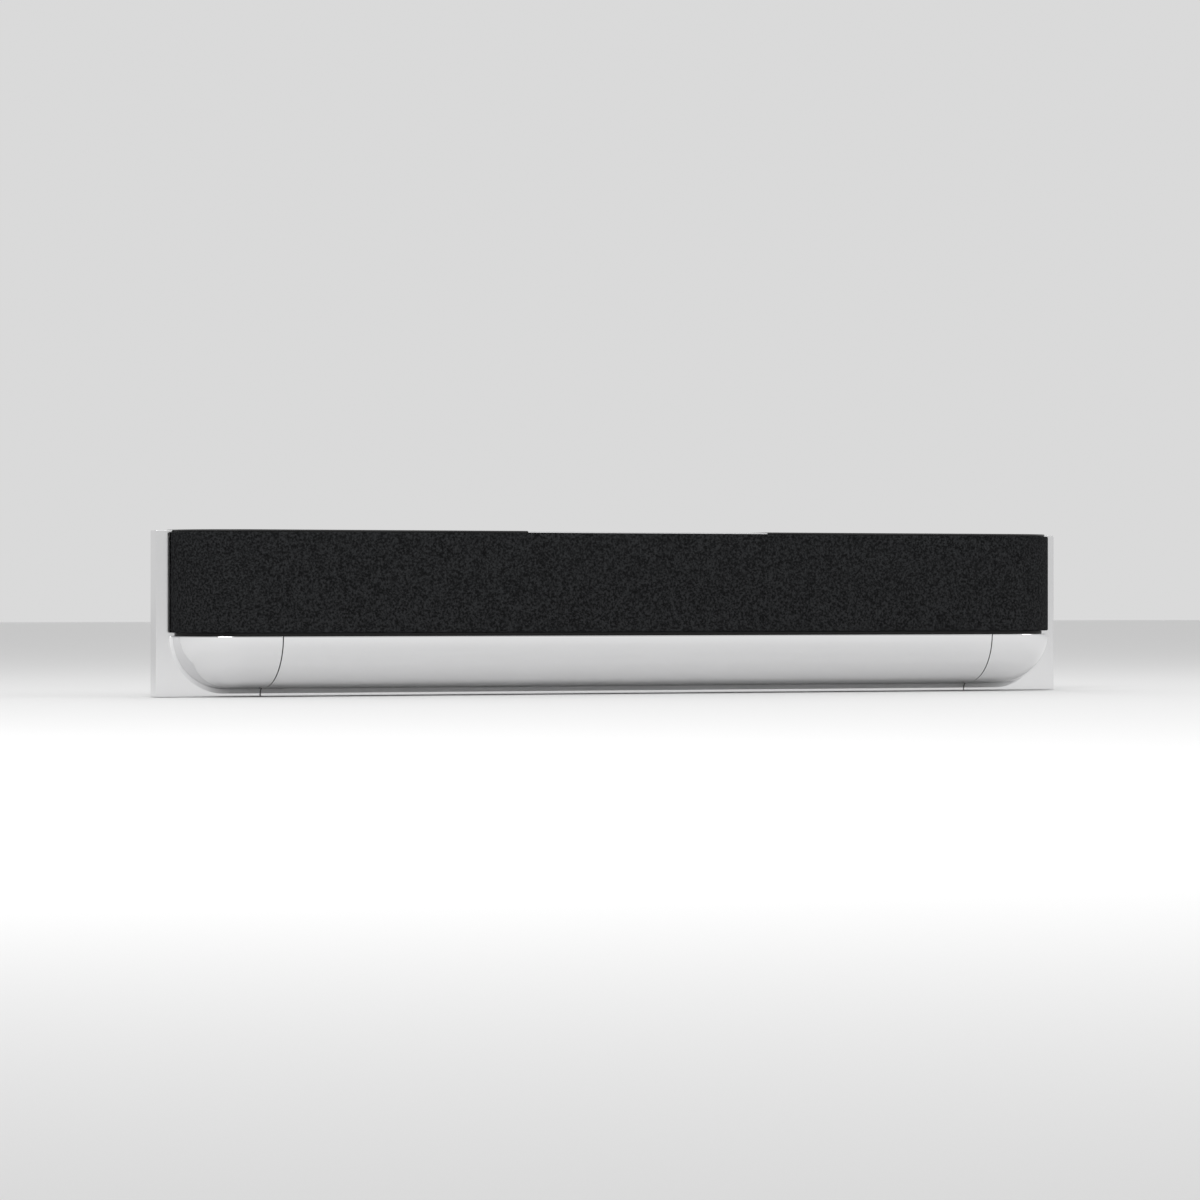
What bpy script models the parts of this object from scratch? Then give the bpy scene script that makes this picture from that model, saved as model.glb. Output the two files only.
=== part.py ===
"""Soundbar with an aluminium back panel and keel, a pull-off cloth cover and twelve drive units.

Metres, +Z up, front facing -Y, origin at the middle of the footprint. Lengths called reach are
counted forward from the front face of the aluminium back panel.
"""

import math

import bmesh
import bpy
from mathutils import Matrix

# Driving dimensions -------------------------------------------------------------------------

GAP = 0.0003                # between pieces that touch or are screwed together
WIDTH = 1.222               # back panel, end to end
HEIGHT = 0.197              # floor to the top of the grilles
COVER_REACH = 0.076         # front of the cloth
REAR_REACH = 0.082          # back of the hanging plates, behind the panel's front face

# Aluminium panel and keel
PANEL_DROP = 0.0008         # panel's top edge below the grilles' top
PANEL_WALL = 0.004
LIP_DEPTH = 0.020           # rim that turns back all round the panel
CASTING_LENGTH = 0.132      # end casting, from its joint to the panel's end
SEAM_GAP = 0.0006
WINDOW_COUNT = 8            # openings that join the front and rear air spaces
WINDOW_RIB = 0.020
WINDOW_MARGIN = 0.008
KEEL_INSET = 0.004          # keel's front edge behind the cover's
KEEL_END_MARGIN = 0.0205    # keel's end inside the panel's
KEEL_TOP = 0.0714
KEEL_WALL = 0.004
KEEL_FLAT = 0.010           # how far forward of the panel the keel's arc begins
KEEL_BOTTOM = 0.010         # lowest point of the keel's arc
FILLET_RADIUS = 0.007
BOWL_STEPS = 14
BOWL_BITE = 2               # degrees that the swept end runs on into the panel

# Cover: cloth over a stiff frame, bent round both ends
COVER_END_MARGIN = 0.0172   # cover's end inside the panel's
COVER_CORNER = 0.085
SHADOW_GAP = 0.0043         # dark gap between keel and cover
COVER_BACK_GAP = 0.005      # between the cover's rear edge and the panel
CLOTH = 0.0009
COVER_WALL = 0.0033
COVER_WINDOWS = 12
COVER_RIB = 0.012
COVER_RIM = 0.009
COVER_END_WINDOW = 0.0306   # half the width of the window in each bent end
COVER_FRAME_SHORT = 0.001   # frame's edges inside the cloth's, top and bottom
PEG_RADIUS = 0.003
PEG_CLEARANCE = 0.0006
PEG_ENGAGEMENT = 0.003      # peg's end beyond the baffle's wall
PEG_FROM_CORNER = 0.0127
PEG_FROM_UPWARD = 0.0182

# Deck in the dark gap between cover and keel
DECK_INSET = 0.008

# Top plates
TOP_INSET = 0.0045          # from the cover's outer surface
GRILLE_THICKNESS = 0.0024
CONTROL_THICKNESS = 0.0017
CONTROL_HALF = 0.162
TOP_JOINT = 0.0006
TOP_OVERHANG = 0.001        # past the panel's rim, at the back
SLOT_COUNT = 8
SLOT_WIDTH = 0.0028
SLOT_PITCH = 0.0062
SLOT_MARGIN = 0.012
LIGHT_RADIUS = 0.0015
LIGHT_REACH = 0.012

# Front baffle, a tub that is open at the back
BAFFLE_SETBACK = 0.018      # behind the cloth
BAFFLE_END_GAP = 0.0129     # inside the cover's end
BAFFLE_CORNER_GAP = 0.01895  # corner facet inside the cover's round corner
BAFFLE_WALL = 0.005

# Rear housing, a tub that is open at the front
HOUSING_END_MARGIN = 0.111  # inside the panel's end
HOUSING_WALL = 0.004
HOUSING_BACK_WALL = 0.009
HOUSING_CORNER = 0.014
HOUSING_DROP = 0.0008       # under the panel's top rim
BAY_HALF = 0.120            # connector bay in the housing's back
BAY_BOTTOM = 0.014
BAY_TOP = 0.086
BAY_DEPTH = 0.040
BAY_WALL = 0.003
BAY_LID = 0.003
LID_CLEARANCE = 0.0005
EXIT_HALF = 0.030           # notch for the cables in the lid's lower edge
EXIT_HEIGHT = 0.016
PANEL_THICKNESS = 0.0015    # connector panel
SOCKET_MARGIN = 0.003
SOCKET_DROP = 0.024         # socket row below the bay's top
MAINS_FROM_END = 0.028
NETWORK_FROM_END = 0.026
VIDEO_X = -0.020
BUTTON_X = 0.052

# Feet and hanging plates
FOOT_HEIGHT = 0.004
FOOT_WIDTH = 0.024
FOOT_LENGTH = 0.090
FOOT_FROM_END = 0.170       # foot's middle inside the housing's end
FOOT_SETBACK = 0.006        # behind the middle of the housing's open part
PLATE_FROM_END = 0.200
PLATE_DROP = 0.0595         # plate's middle below the housing's top
PLATE_WIDTH = 0.100
PLATE_HEIGHT = 0.060
PLATE_THICKNESS = 0.0025
KEYHOLE_RADIUS = 0.005
KEYHOLE_SLOT = 0.0025       # half the width of the slot
KEYHOLE_DROP = 0.008        # round hole's centre below the plate's centre
KEYHOLE_RISE = 0.010        # slot's end above the plate's centre
POCKET_DEPTH = 0.0045       # room for the screw's head behind the plate
POCKET_MARGIN = 0.003

# Boards and what stands on them
BOARD = 0.0016
BOARD_STANDOFF = 0.008
BOARD_FROM_END = 0.080
BOARD_LENGTH = 0.240
BOARD_BOTTOM = 0.030
BOARD_DROP = 0.0245         # boards' top edges below the housing's top
MAIN_BOARD_HALF = 0.110
MAIN_BOARD_ABOVE_BAY = 0.014
MAIN_BOARD_DROP = 0.0175
TRANSFORMER_SIZE = (0.130, 0.050, 0.090)
TRANSFORMER_FROM_END = 0.095
TRANSFORMER_BOTTOM = 0.050
HEAT_SINK_HALF = 0.095
HEAT_SINK_DEPTH = 0.032
HEAT_SINK_HEIGHT = 0.095
HEAT_SINK_BOTTOM = 0.050
HEAT_SINK_BASE = 0.008
HEAT_SINK_FIN = 0.0025
HEAT_SINK_FINS = 9
BUTTON_RADIUS = 0.003
BUTTON_LENGTH = 0.0032
BUTTON_TRAVEL_ROOM = 0.0012
TOUCH_BOARD = ((-0.090, 0.090), (0.014, 0.040))
RECEIVER_X = (0.080, 0.104)
RECEIVER_HALF_HEIGHT = 0.010
ANTENNA_FROM_END = 0.044
ANTENNA_HALF = 0.006
ANTENNA_Z = (0.080, 0.150)

SEGMENTS_LARGE = 24
SEGMENTS_SMALL = 16
ARC_STEPS = 8

# Drive units: flange radius, roll width, cone depth, basket depth, magnet radius and height,
# voice coil radius, travel each way
WOOFER = dict(flange=0.0535, roll=0.009, cone=0.018, basket=0.032, magnet=0.034, height=0.016,
              coil=0.0190, travel=0.004, segments=SEGMENTS_LARGE)
CENTRE = dict(flange=0.0530, roll=0.007, cone=0.019, basket=0.032, magnet=0.033, height=0.015,
              coil=0.0190, travel=0.003, segments=SEGMENTS_LARGE)
MIDRANGE = dict(flange=0.0320, roll=0.005, cone=0.011, basket=0.020, magnet=0.021, height=0.013,
                coil=0.0110, travel=0.002, segments=SEGMENTS_SMALL)
SIDE = dict(flange=0.0290, roll=0.0045, cone=0.009, basket=0.017, magnet=0.0155, height=0.009,
            coil=0.0095, travel=0.002, segments=SEGMENTS_SMALL)
UPWARD = dict(flange=0.0248, roll=0.004, cone=0.009, basket=0.016, magnet=0.0165, height=0.011,
              coil=0.0090, travel=0.002, segments=SEGMENTS_SMALL)
MIDRANGE_FROM_CORNER = 0.0572
TWEETER_SPACING = 0.005     # between the flanges of tweeter and midrange
WOOFER_SPACING = 0.0175     # between the flanges of woofer and tweeter
UPWARD_SPACING = 0.0187
UPWARD_CLEARANCE = 0.0022   # upward unit's flange in front of the panel
FLANGE_THICKNESS = 0.002
FLANGE_RIM = 0.003          # flat rim outside the roll
ROLL_SPLIT = 0.0002         # half the cut between the fixed and the moving half of the roll
CONE_WALL = 0.0012
COIL_WALL = 0.0008
COIL_CLEARANCE = 0.0006
CUTOUT_CLEARANCE = 0.0006
TWEETER_RADIUS = 0.0225
TWEETER_BODY = 0.0165
TWEETER_DEPTH = 0.020
DOME_RADIUS = 0.0125
CENTRE_TWEETER_RADIUS = 0.0140
CENTRE_TWEETER_POST = 0.007

# Derived places -----------------------------------------------------------------------------

HALF = WIDTH / 2
PANEL_Y = (COVER_REACH - REAR_REACH) / 2
PANEL_TOP = HEIGHT - PANEL_DROP
TOP_PLATE_BOTTOM = HEIGHT - GRILLE_THICKNESS
COVER_TOP = TOP_PLATE_BOTTOM - GAP
COVER_BOTTOM = KEEL_TOP + SHADOW_GAP
COVER_END_X = HALF - COVER_END_MARGIN
COVER_INNER = COVER_REACH - CLOTH - GAP - COVER_WALL
SEAM_X = HALF - CASTING_LENGTH
KEEL_REACH = COVER_REACH - KEEL_INSET
KEEL_END_X = HALF - KEEL_END_MARGIN
TOP_REACH = COVER_REACH - TOP_INSET
TOP_END_X = COVER_END_X - TOP_INSET
TOP_REAR = LIP_DEPTH + TOP_OVERHANG

BAFFLE_REACH = COVER_REACH - BAFFLE_SETBACK
BAFFLE_END_X = COVER_END_X - BAFFLE_END_GAP
BAFFLE_CHAMFER = (2 * COVER_CORNER - BAFFLE_SETBACK - BAFFLE_END_GAP
                  - math.sqrt(2) * (COVER_CORNER - BAFFLE_CORNER_GAP))
BAFFLE_FLAT_END = BAFFLE_END_X - BAFFLE_CHAMFER
DRIVER_Z = (COVER_BOTTOM + COVER_TOP) / 2
MIDRANGE_X = BAFFLE_FLAT_END - MIDRANGE_FROM_CORNER
TWEETER_X = MIDRANGE_X - MIDRANGE["flange"] - TWEETER_RADIUS - TWEETER_SPACING
WOOFER_X = TWEETER_X - TWEETER_RADIUS - WOOFER["flange"] - WOOFER_SPACING
UPWARD_X = WOOFER_X - WOOFER["flange"] - UPWARD["flange"] - UPWARD_SPACING
UPWARD_REACH = GAP + UPWARD_CLEARANCE + UPWARD["flange"]
PEGS = (("outer", BAFFLE_FLAT_END - PEG_FROM_CORNER),
        ("inner", UPWARD_X - UPWARD["flange"] - PEG_FROM_UPWARD))

HOUSING_HALF = HALF - HOUSING_END_MARGIN
HOUSING_BOTTOM = FOOT_HEIGHT + GAP
HOUSING_TOP = COVER_TOP - PANEL_WALL - HOUSING_DROP
HOUSING_BACK = REAR_REACH - PLATE_THICKNESS - GAP
HOUSING_FRONT = PANEL_WALL + GAP
BAY_FLOOR = HOUSING_BACK - BAY_DEPTH
SOCKET_ROW_Z = BAY_TOP - SOCKET_DROP
PLATE_X = HOUSING_HALF - PLATE_FROM_END
PLATE_Z = HOUSING_TOP - PLATE_DROP

# Scene and helpers --------------------------------------------------------------------------

for leftover in list(bpy.data.objects):
    bpy.data.objects.remove(leftover, do_unlink=True)

SOUNDBAR = bpy.data.collections.new("soundbar")
CUTTERS = bpy.data.collections.new("cutters")
bpy.context.scene.collection.children.link(SOUNDBAR)
bpy.context.scene.collection.children.link(CUTTERS)


def material(name, colour, roughness, metallic=0.0):
    """Principled material of one colour."""
    made = bpy.data.materials.new(name)
    made.use_nodes = True
    shader = made.node_tree.nodes["Principled BSDF"]
    shader.inputs["Base Color"].default_value = (*colour, 1)
    shader.inputs["Roughness"].default_value = roughness
    shader.inputs["Metallic"].default_value = metallic
    return made


ALUMINIUM = ("satin_aluminium", (0.80, 0.80, 0.80), 0.30, 1.0)
CLOTH_GREY = ("grey_melange_cloth", (0.035, 0.036, 0.038), 0.95)
BLACK_PLASTIC = ("black_plastic", (0.02, 0.02, 0.02), 0.5)
BLACK_METAL = ("black_metal", (0.02, 0.02, 0.02), 0.4, 0.6)
PAPER_CONE = ("coated_paper", (0.04, 0.04, 0.04), 0.7)
STEEL = ("zinc_steel", (0.55, 0.56, 0.58), 0.35, 1.0)
BOARD_GREEN = ("circuit_board", (0.02, 0.10, 0.05), 0.5)
RUBBER = ("black_rubber", (0.015, 0.015, 0.015), 0.9)
GLASS_WHITE = ("light_lens", (0.85, 0.85, 0.85), 0.2)
SOFT_DOME = ("soft_dome", (0.03, 0.03, 0.035), 0.6)


def add(name, mesh, look, matrix=None, collection=None):
    """Puts a mesh in the scene as a named part."""
    part = bpy.data.objects.new(name, mesh)
    part.matrix_world = matrix or Matrix.Identity(4)
    (collection or SOUNDBAR).objects.link(part)
    if look:
        part.data.materials.append(bpy.data.materials.get(look[0]) or material(*look))
    return part


def y_at(reach):
    """World Y of a place that many metres in front of the panel's front face."""
    return PANEL_Y - reach


def block(name, x, reach, z, look=None):
    """Box between two X, two reaches and two Z."""
    mesh = bpy.data.meshes.new(name)
    shape = bmesh.new()
    bmesh.ops.create_cube(shape, size=1)
    bmesh.ops.scale(shape, vec=(abs(x[1] - x[0]), abs(reach[1] - reach[0]), abs(z[1] - z[0])),
                    verts=shape.verts)
    shape.to_mesh(mesh)
    shape.free()
    middle = ((x[0] + x[1]) / 2, y_at((reach[0] + reach[1]) / 2), (z[0] + z[1]) / 2)
    return add(name, mesh, look, Matrix.Translation(middle), None if look else CUTTERS)


def rod(name, radius, length, matrix, look=None, segments=SEGMENTS_SMALL):
    """Round bar centred on its own origin along local Z."""
    mesh = bpy.data.meshes.new(name)
    shape = bmesh.new()
    bmesh.ops.create_cone(shape, cap_ends=True, segments=segments, radius1=radius,
                          radius2=radius, depth=length)
    shape.to_mesh(mesh)
    shape.free()
    return add(name, mesh, look, matrix, None if look else CUTTERS)


PRISM_TURNS = {
    "X": Matrix(((0, 0, 1, 0), (1, 0, 0, 0), (0, 1, 0, 0), (0, 0, 0, 1))),
    "Y": Matrix(((1, 0, 0, 0), (0, 0, -1, 0), (0, 1, 0, 0), (0, 0, 0, 1))),
    "Z": Matrix.Identity(4),
}


def prism(name, outline, low, high, axis, look=None):
    """Closed outline drawn out along one world axis, as a mesh.

    The outline's pairs are (y, z) for X, (x, z) for Y and (x, y) for Z.
    """
    curve = bpy.data.curves.new(name, "CURVE")
    curve.dimensions = "2D"
    curve.fill_mode = "BOTH"
    curve.extrude = (high - low) / 2
    spline = curve.splines.new("POLY")
    spline.points.add(len(outline) - 1)
    for point, (u, v) in zip(spline.points, outline):
        point.co = (u, v, 0, 1)
    spline.use_cyclic_u = True
    guide = bpy.data.objects.new(name + "_outline", curve)
    CUTTERS.objects.link(guide)
    middle = (low + high) / 2
    shift = {"X": (middle, 0, 0), "Y": (0, middle, 0), "Z": (0, 0, middle)}[axis]
    guide.matrix_world = Matrix.Translation(shift) @ PRISM_TURNS[axis]
    bpy.context.view_layer.update()
    flat = guide.evaluated_get(bpy.context.evaluated_depsgraph_get())
    mesh = bpy.data.meshes.new_from_object(flat)
    shape = bmesh.new()
    shape.from_mesh(mesh)
    bmesh.ops.remove_doubles(shape, verts=shape.verts, dist=1e-6)
    shape.to_mesh(mesh)
    shape.free()
    mesh.materials.clear()
    made = add(name, mesh, look, guide.matrix_world.copy(), None if look else CUTTERS)
    bpy.data.objects.remove(guide, do_unlink=True)
    return made


def turned(name, profile, matrix, look=None, closed=False, segments=SEGMENTS_SMALL):
    """Profile of (radius, height) pairs turned about local Z. It runs down the outer side."""
    mesh = bpy.data.meshes.new(name)
    edges = [(i, i + 1) for i in range(len(profile) - 1)]
    if closed:
        edges.append((len(profile) - 1, 0))
    mesh.from_pydata([(radius, 0, height) for radius, height in profile], edges, [])
    part = add(name, mesh, look, matrix, None if look else CUTTERS)
    screw = part.modifiers.new("turn", "SCREW")
    screw.steps = segments
    screw.render_steps = segments
    screw.use_merge_vertices = True
    screw.merge_threshold = 1e-6
    screw.use_smooth_shade = True
    return part


def boolean(part, tool, operation="DIFFERENCE"):
    """Cuts a part with a tool, or joins the tool to it, and hides the tool."""
    modifier = part.modifiers.new(operation.lower(), "BOOLEAN")
    modifier.operation = operation
    modifier.solver = "EXACT"
    modifier.object = tool
    tool.hide_render = True
    tool.display_type = "WIRE"


def joined_boxes(name, boxes):
    """One cutter made of boxes that stand clear of each other."""
    shape = bmesh.new()
    for x, reach, z, turn in boxes:
        size = (abs(x[1] - x[0]), abs(reach[1] - reach[0]), abs(z[1] - z[0]))
        middle = ((x[0] + x[1]) / 2, y_at((reach[0] + reach[1]) / 2), (z[0] + z[1]) / 2)
        place = Matrix.Translation(middle) @ Matrix.Rotation(turn, 4, "Z") @ Matrix.Diagonal((*size, 1))
        bmesh.ops.create_cube(shape, size=1, matrix=place)
    mesh = bpy.data.meshes.new(name)
    shape.to_mesh(mesh)
    shape.free()
    return add(name, mesh, None, None, CUTTERS)


def arc(centre, radius, start, end, steps=ARC_STEPS):
    """Points on a circle between two angles in degrees."""
    points = []
    for step in range(steps + 1):
        angle = math.radians(start + (end - start) * step / steps)
        points.append((centre[0] + radius * math.cos(angle), centre[1] + radius * math.sin(angle)))
    return points


# Aluminium panel and keel -------------------------------------------------------------------

ARC_CENTRE = (KEEL_FLAT, KEEL_BOTTOM + KEEL_REACH - KEEL_FLAT)
ARC_RADIUS = KEEL_REACH - KEEL_FLAT


def keel_outer():
    """Keel's outer curve as (reach, z), from its front top edge down and back to the arc's end."""
    start = -math.degrees(math.asin((ARC_CENTRE[1] - KEEL_TOP) / ARC_RADIUS))
    return arc(ARC_CENTRE, ARC_RADIUS, start, -90)


def keel_inner():
    """Inside of the keel's wall, from under the flat part forward and up to the top edge."""
    radius = ARC_RADIUS - KEEL_WALL
    end = -math.degrees(math.asin((ARC_CENTRE[1] - KEEL_TOP) / radius))
    return arc(ARC_CENTRE, radius, -90, end)


def fillet():
    """Hollow fillet from the keel's underside to the panel, as (reach, z)."""
    centre = (FILLET_RADIUS, KEEL_BOTTOM - FILLET_RADIUS)
    return arc(centre, FILLET_RADIUS, 90, 180, 4)


def panel_section():
    """Section of panel, rim and keel as (y, z)."""
    points = [(0, COVER_TOP), (0, KEEL_BOTTOM + KEEL_WALL)]
    points += keel_inner()
    points += keel_outer()
    points += fillet()
    points += [(0, 0), (-LIP_DEPTH, 0), (-LIP_DEPTH, PANEL_WALL), (-PANEL_WALL, PANEL_WALL)]
    points += [(-PANEL_WALL, COVER_TOP - PANEL_WALL), (-LIP_DEPTH, COVER_TOP - PANEL_WALL)]
    points += [(-LIP_DEPTH, COVER_TOP)]
    return [(y_at(reach), z) for reach, z in points]


def centre_section():
    """Extruded middle of the panel and keel, with windows between the two air spaces."""
    end = SEAM_X - SEAM_GAP / 2
    part = prism("centre_keel_section", panel_section(), -end, end, "X", ALUMINIUM)
    span = 2 * (end - WINDOW_RIB)
    pitch = span / WINDOW_COUNT
    low = COVER_BOTTOM + BAFFLE_WALL + WINDOW_MARGIN - 0.002
    high = COVER_TOP - PANEL_WALL - WINDOW_MARGIN
    windows = []
    for index in range(WINDOW_COUNT):
        middle = -span / 2 + pitch * (index + 0.5)
        half = (pitch - WINDOW_RIB) / 2
        windows.append(((middle - half, middle + half), (0.002, -PANEL_WALL - 0.002), (low, high), 0))
    boolean(part, joined_boxes("centre_windows_tool", windows))


def keel_bowl(name, side, axis_x):
    """Keel's wall swept round an upright axis at its end, a little way into the panel."""
    section = [(0, KEEL_BOTTOM + KEEL_WALL)] + keel_inner() + keel_outer() + [(0, KEEL_BOTTOM)]
    shape = bmesh.new()
    corners = [shape.verts.new((side * axis_x, y_at(reach), z)) for reach, z in section]
    face = shape.faces.new(corners)
    bmesh.ops.spin(shape, geom=[face] + list(face.edges) + corners, cent=(side * axis_x, PANEL_Y, 0),
                   axis=(0, 0, 1), angle=side * math.radians(90 + BOWL_BITE), steps=BOWL_STEPS)
    bmesh.ops.remove_doubles(shape, verts=shape.verts, dist=1e-6)
    bmesh.ops.recalc_face_normals(shape, faces=shape.faces)
    mesh = bpy.data.meshes.new(name)
    shape.to_mesh(mesh)
    shape.free()
    return add(name, mesh, None, None, CUTTERS)


def end_casting(name, side):
    """Cast end of the panel, where the keel turns round to meet the panel."""
    start = side * (SEAM_X + SEAM_GAP / 2)
    axis_x = KEEL_END_X - KEEL_REACH
    part = block(name, (start, side * HALF), (0, -LIP_DEPTH), (0, PANEL_TOP), ALUMINIUM)
    pocket = block(name + "_pocket", (start - side * 0.01, side * (HALF - PANEL_WALL)),
                   (-PANEL_WALL, -LIP_DEPTH - 0.01), (PANEL_WALL, COVER_TOP - PANEL_WALL))
    notch = block(name + "_notch", (start - side * 0.01, side * (TOP_END_X + TOP_JOINT)),
                  (0.01, -LIP_DEPTH - 0.01), (COVER_TOP, PANEL_TOP + 0.01))
    boolean(part, pocket)
    boolean(part, notch)
    bite = -PANEL_WALL / 2
    section = [(bite, KEEL_BOTTOM + KEEL_WALL)] + keel_inner() + keel_outer() + fillet()
    section += [(bite, KEEL_BOTTOM - FILLET_RADIUS)]
    straight = prism(name + "_straight", [(y_at(reach), z) for reach, z in section],
                     min(start, side * axis_x), max(start, side * axis_x), "X")
    boolean(part, straight, "UNION")
    boolean(part, keel_bowl(name + "_bowl", side, axis_x), "UNION")


centre_section()
end_casting("left_end_casting", -1)
end_casting("right_end_casting", 1)


# Outline shared by the cover, the deck and the top plates ------------------------------------

def rounded_front(inset, back):
    """Half outline, right side, of the cover's shape moved in by inset: from back to the middle.

    Pairs are (x, reach). The corner's arc is centred a little behind the panel.
    """
    centre = (COVER_END_X - COVER_CORNER, COVER_REACH - COVER_CORNER)
    radius = COVER_CORNER - inset
    start = math.degrees(math.asin(max(0.0, (back - centre[1])) / radius))
    return arc(centre, radius, start, 90, 14)


def full_outline(inset, back):
    """Closed outline, both ends rounded, as (x, y)."""
    right = rounded_front(inset, back)
    left = [(-x, reach) for x, reach in reversed(right)]
    return [(x, y_at(reach)) for x, reach in right + left]


def band_outline(inset, thickness, back):
    """Closed outline of a band that follows the cover's shape, as (x, y)."""
    outer = full_outline(inset, back)
    inner = full_outline(inset + thickness, back)
    return outer + inner[::-1]


def cover():
    """Stiff frame with windows, in a front and two bent ends, cloth over it and four pegs."""
    frame_inset = CLOTH + GAP
    frame_z = (COVER_BOTTOM + COVER_FRAME_SHORT, COVER_TOP - COVER_FRAME_SHORT)
    straight = COVER_END_X - COVER_CORNER
    frame = block("cover_frame", (GAP - straight, straight - GAP),
                  (COVER_INNER, COVER_REACH - frame_inset), frame_z, BLACK_PLASTIC)
    pitch = 2 * straight / COVER_WINDOWS
    windows = []
    for index in range(COVER_WINDOWS):
        middle = -straight + pitch * (index + 0.5)
        half = (pitch - COVER_RIB) / 2
        windows.append(((middle - half, middle + half), (COVER_INNER - 0.004, COVER_REACH + 0.004),
                        (COVER_BOTTOM + COVER_RIM, COVER_TOP - COVER_RIM), 0))
    boolean(frame, joined_boxes("cover_windows_tool", windows))
    bend = rounded_front(frame_inset, COVER_BACK_GAP)
    bend += rounded_front(frame_inset + COVER_WALL, COVER_BACK_GAP)[::-1]
    for side, side_name in ((-1, "left"), (1, "right")):
        outline = [(side * x, y_at(reach)) for x, reach in bend][::side]
        end = prism(side_name + "_cover_end", outline, *frame_z, "Z", BLACK_PLASTIC)
        out = (COVER_CORNER - COVER_WALL) * math.sin(math.pi / 4)
        x = side * (straight + out)
        reach = COVER_REACH - COVER_CORNER + out
        window = [((x - COVER_END_WINDOW, x + COVER_END_WINDOW), (reach - 0.012, reach + 0.012),
                   (COVER_BOTTOM + COVER_RIM, COVER_TOP - COVER_RIM), side * math.pi / 4)]
        boolean(end, joined_boxes(side_name + "_end_window_tool", window))
    prism("cover_fabric", band_outline(0, CLOTH, COVER_BACK_GAP), COVER_BOTTOM, COVER_TOP, "Z", CLOTH_GREY)

    for side, side_name in ((-1, "left"), (1, "right")):
        for end_name, x in PEGS:
            beyond = max(0.0, x + PEG_RADIUS - straight)
            radius = COVER_CORNER - (COVER_REACH - COVER_INNER)
            front = COVER_REACH - COVER_CORNER + math.sqrt(radius ** 2 - beyond ** 2) - GAP
            back = BAFFLE_REACH - BAFFLE_WALL - PEG_ENGAGEMENT
            matrix = Matrix.Translation((side * x, y_at((front + back) / 2), DRIVER_Z))
            rod(side_name + "_" + end_name + "_cover_peg", PEG_RADIUS, front - back,
                matrix @ Matrix.Rotation(math.pi / 2, 4, "X"), BLACK_PLASTIC, 16)


cover()

deck_outline = full_outline(DECK_INSET, COVER_BACK_GAP)
deck_outline = [(deck_outline[0][0], y_at(GAP))] + deck_outline + [(deck_outline[-1][0], y_at(GAP))]
prism("shadow_gap_deck", deck_outline, KEEL_TOP + GAP, COVER_BOTTOM - GAP, "Z", BLACK_PLASTIC)


# Top plates -----------------------------------------------------------------------------------

def top_grille(name, side):
    """Plate over one upward driver, with slots, lying on baffle and panel."""
    inner = CONTROL_HALF + TOP_JOINT / 2
    right = rounded_front(TOP_INSET, 0)
    outline = [(TOP_END_X, -TOP_REAR)] + right + [(inner, TOP_REACH), (inner, -TOP_REAR)]
    outline = [(side * x, y_at(reach)) for x, reach in outline]
    if side < 0:
        outline = outline[::-1]
    plate = prism(name, outline, TOP_PLATE_BOTTOM, HEIGHT, "Z", BLACK_METAL)
    half_length = UPWARD["flange"] + SLOT_MARGIN
    slots = []
    for index in range(SLOT_COUNT):
        reach = UPWARD_REACH + (index - (SLOT_COUNT - 1) / 2) * SLOT_PITCH
        slots.append(((side * UPWARD_X - half_length, side * UPWARD_X + half_length),
                      (reach - SLOT_WIDTH / 2, reach + SLOT_WIDTH / 2),
                      (TOP_PLATE_BOTTOM - 0.002, HEIGHT + 0.002), 0))
    boolean(plate, joined_boxes(name + "_slots_tool", slots))


top_grille("left_top_grille", -1)
top_grille("right_top_grille", 1)

control_edge = CONTROL_HALF - TOP_JOINT / 2
control = block("control_panel", (-control_edge, control_edge), (TOP_REACH, -TOP_REAR),
                (TOP_PLATE_BOTTOM, TOP_PLATE_BOTTOM + CONTROL_THICKNESS), ALUMINIUM)
light_place = Matrix.Translation((0, y_at(LIGHT_REACH), TOP_PLATE_BOTTOM + CONTROL_THICKNESS / 2))
light_hole = rod("light_hole_tool", LIGHT_RADIUS + GAP, 0.006, light_place, None, 12)
boolean(control, light_hole)
rod("status_light", LIGHT_RADIUS, CONTROL_THICKNESS - GAP / 2, light_place, GLASS_WHITE, 12)


# Front baffle and drive units -----------------------------------------------------------------

def baffle_outline(inset, back):
    """Plan of the baffle tub, or of its hollow, as (x, y)."""
    slope = inset * math.tan(math.pi / 8)
    right = [(BAFFLE_END_X - inset, back),
             (BAFFLE_END_X - inset, BAFFLE_REACH - BAFFLE_CHAMFER - slope),
             (BAFFLE_END_X - BAFFLE_CHAMFER - slope, BAFFLE_REACH - inset)]
    left = [(-x, reach) for x, reach in reversed(right)]
    return [(x, y_at(reach)) for x, reach in right + left]


baffle = prism("front_baffle", baffle_outline(0, GAP), COVER_BOTTOM, COVER_TOP, "Z", BLACK_PLASTIC)
hollow = prism("baffle_hollow_tool", baffle_outline(BAFFLE_WALL, -0.01), COVER_BOTTOM + BAFFLE_WALL,
               COVER_TOP - BAFFLE_WALL, "Z")
boolean(baffle, hollow)


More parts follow.
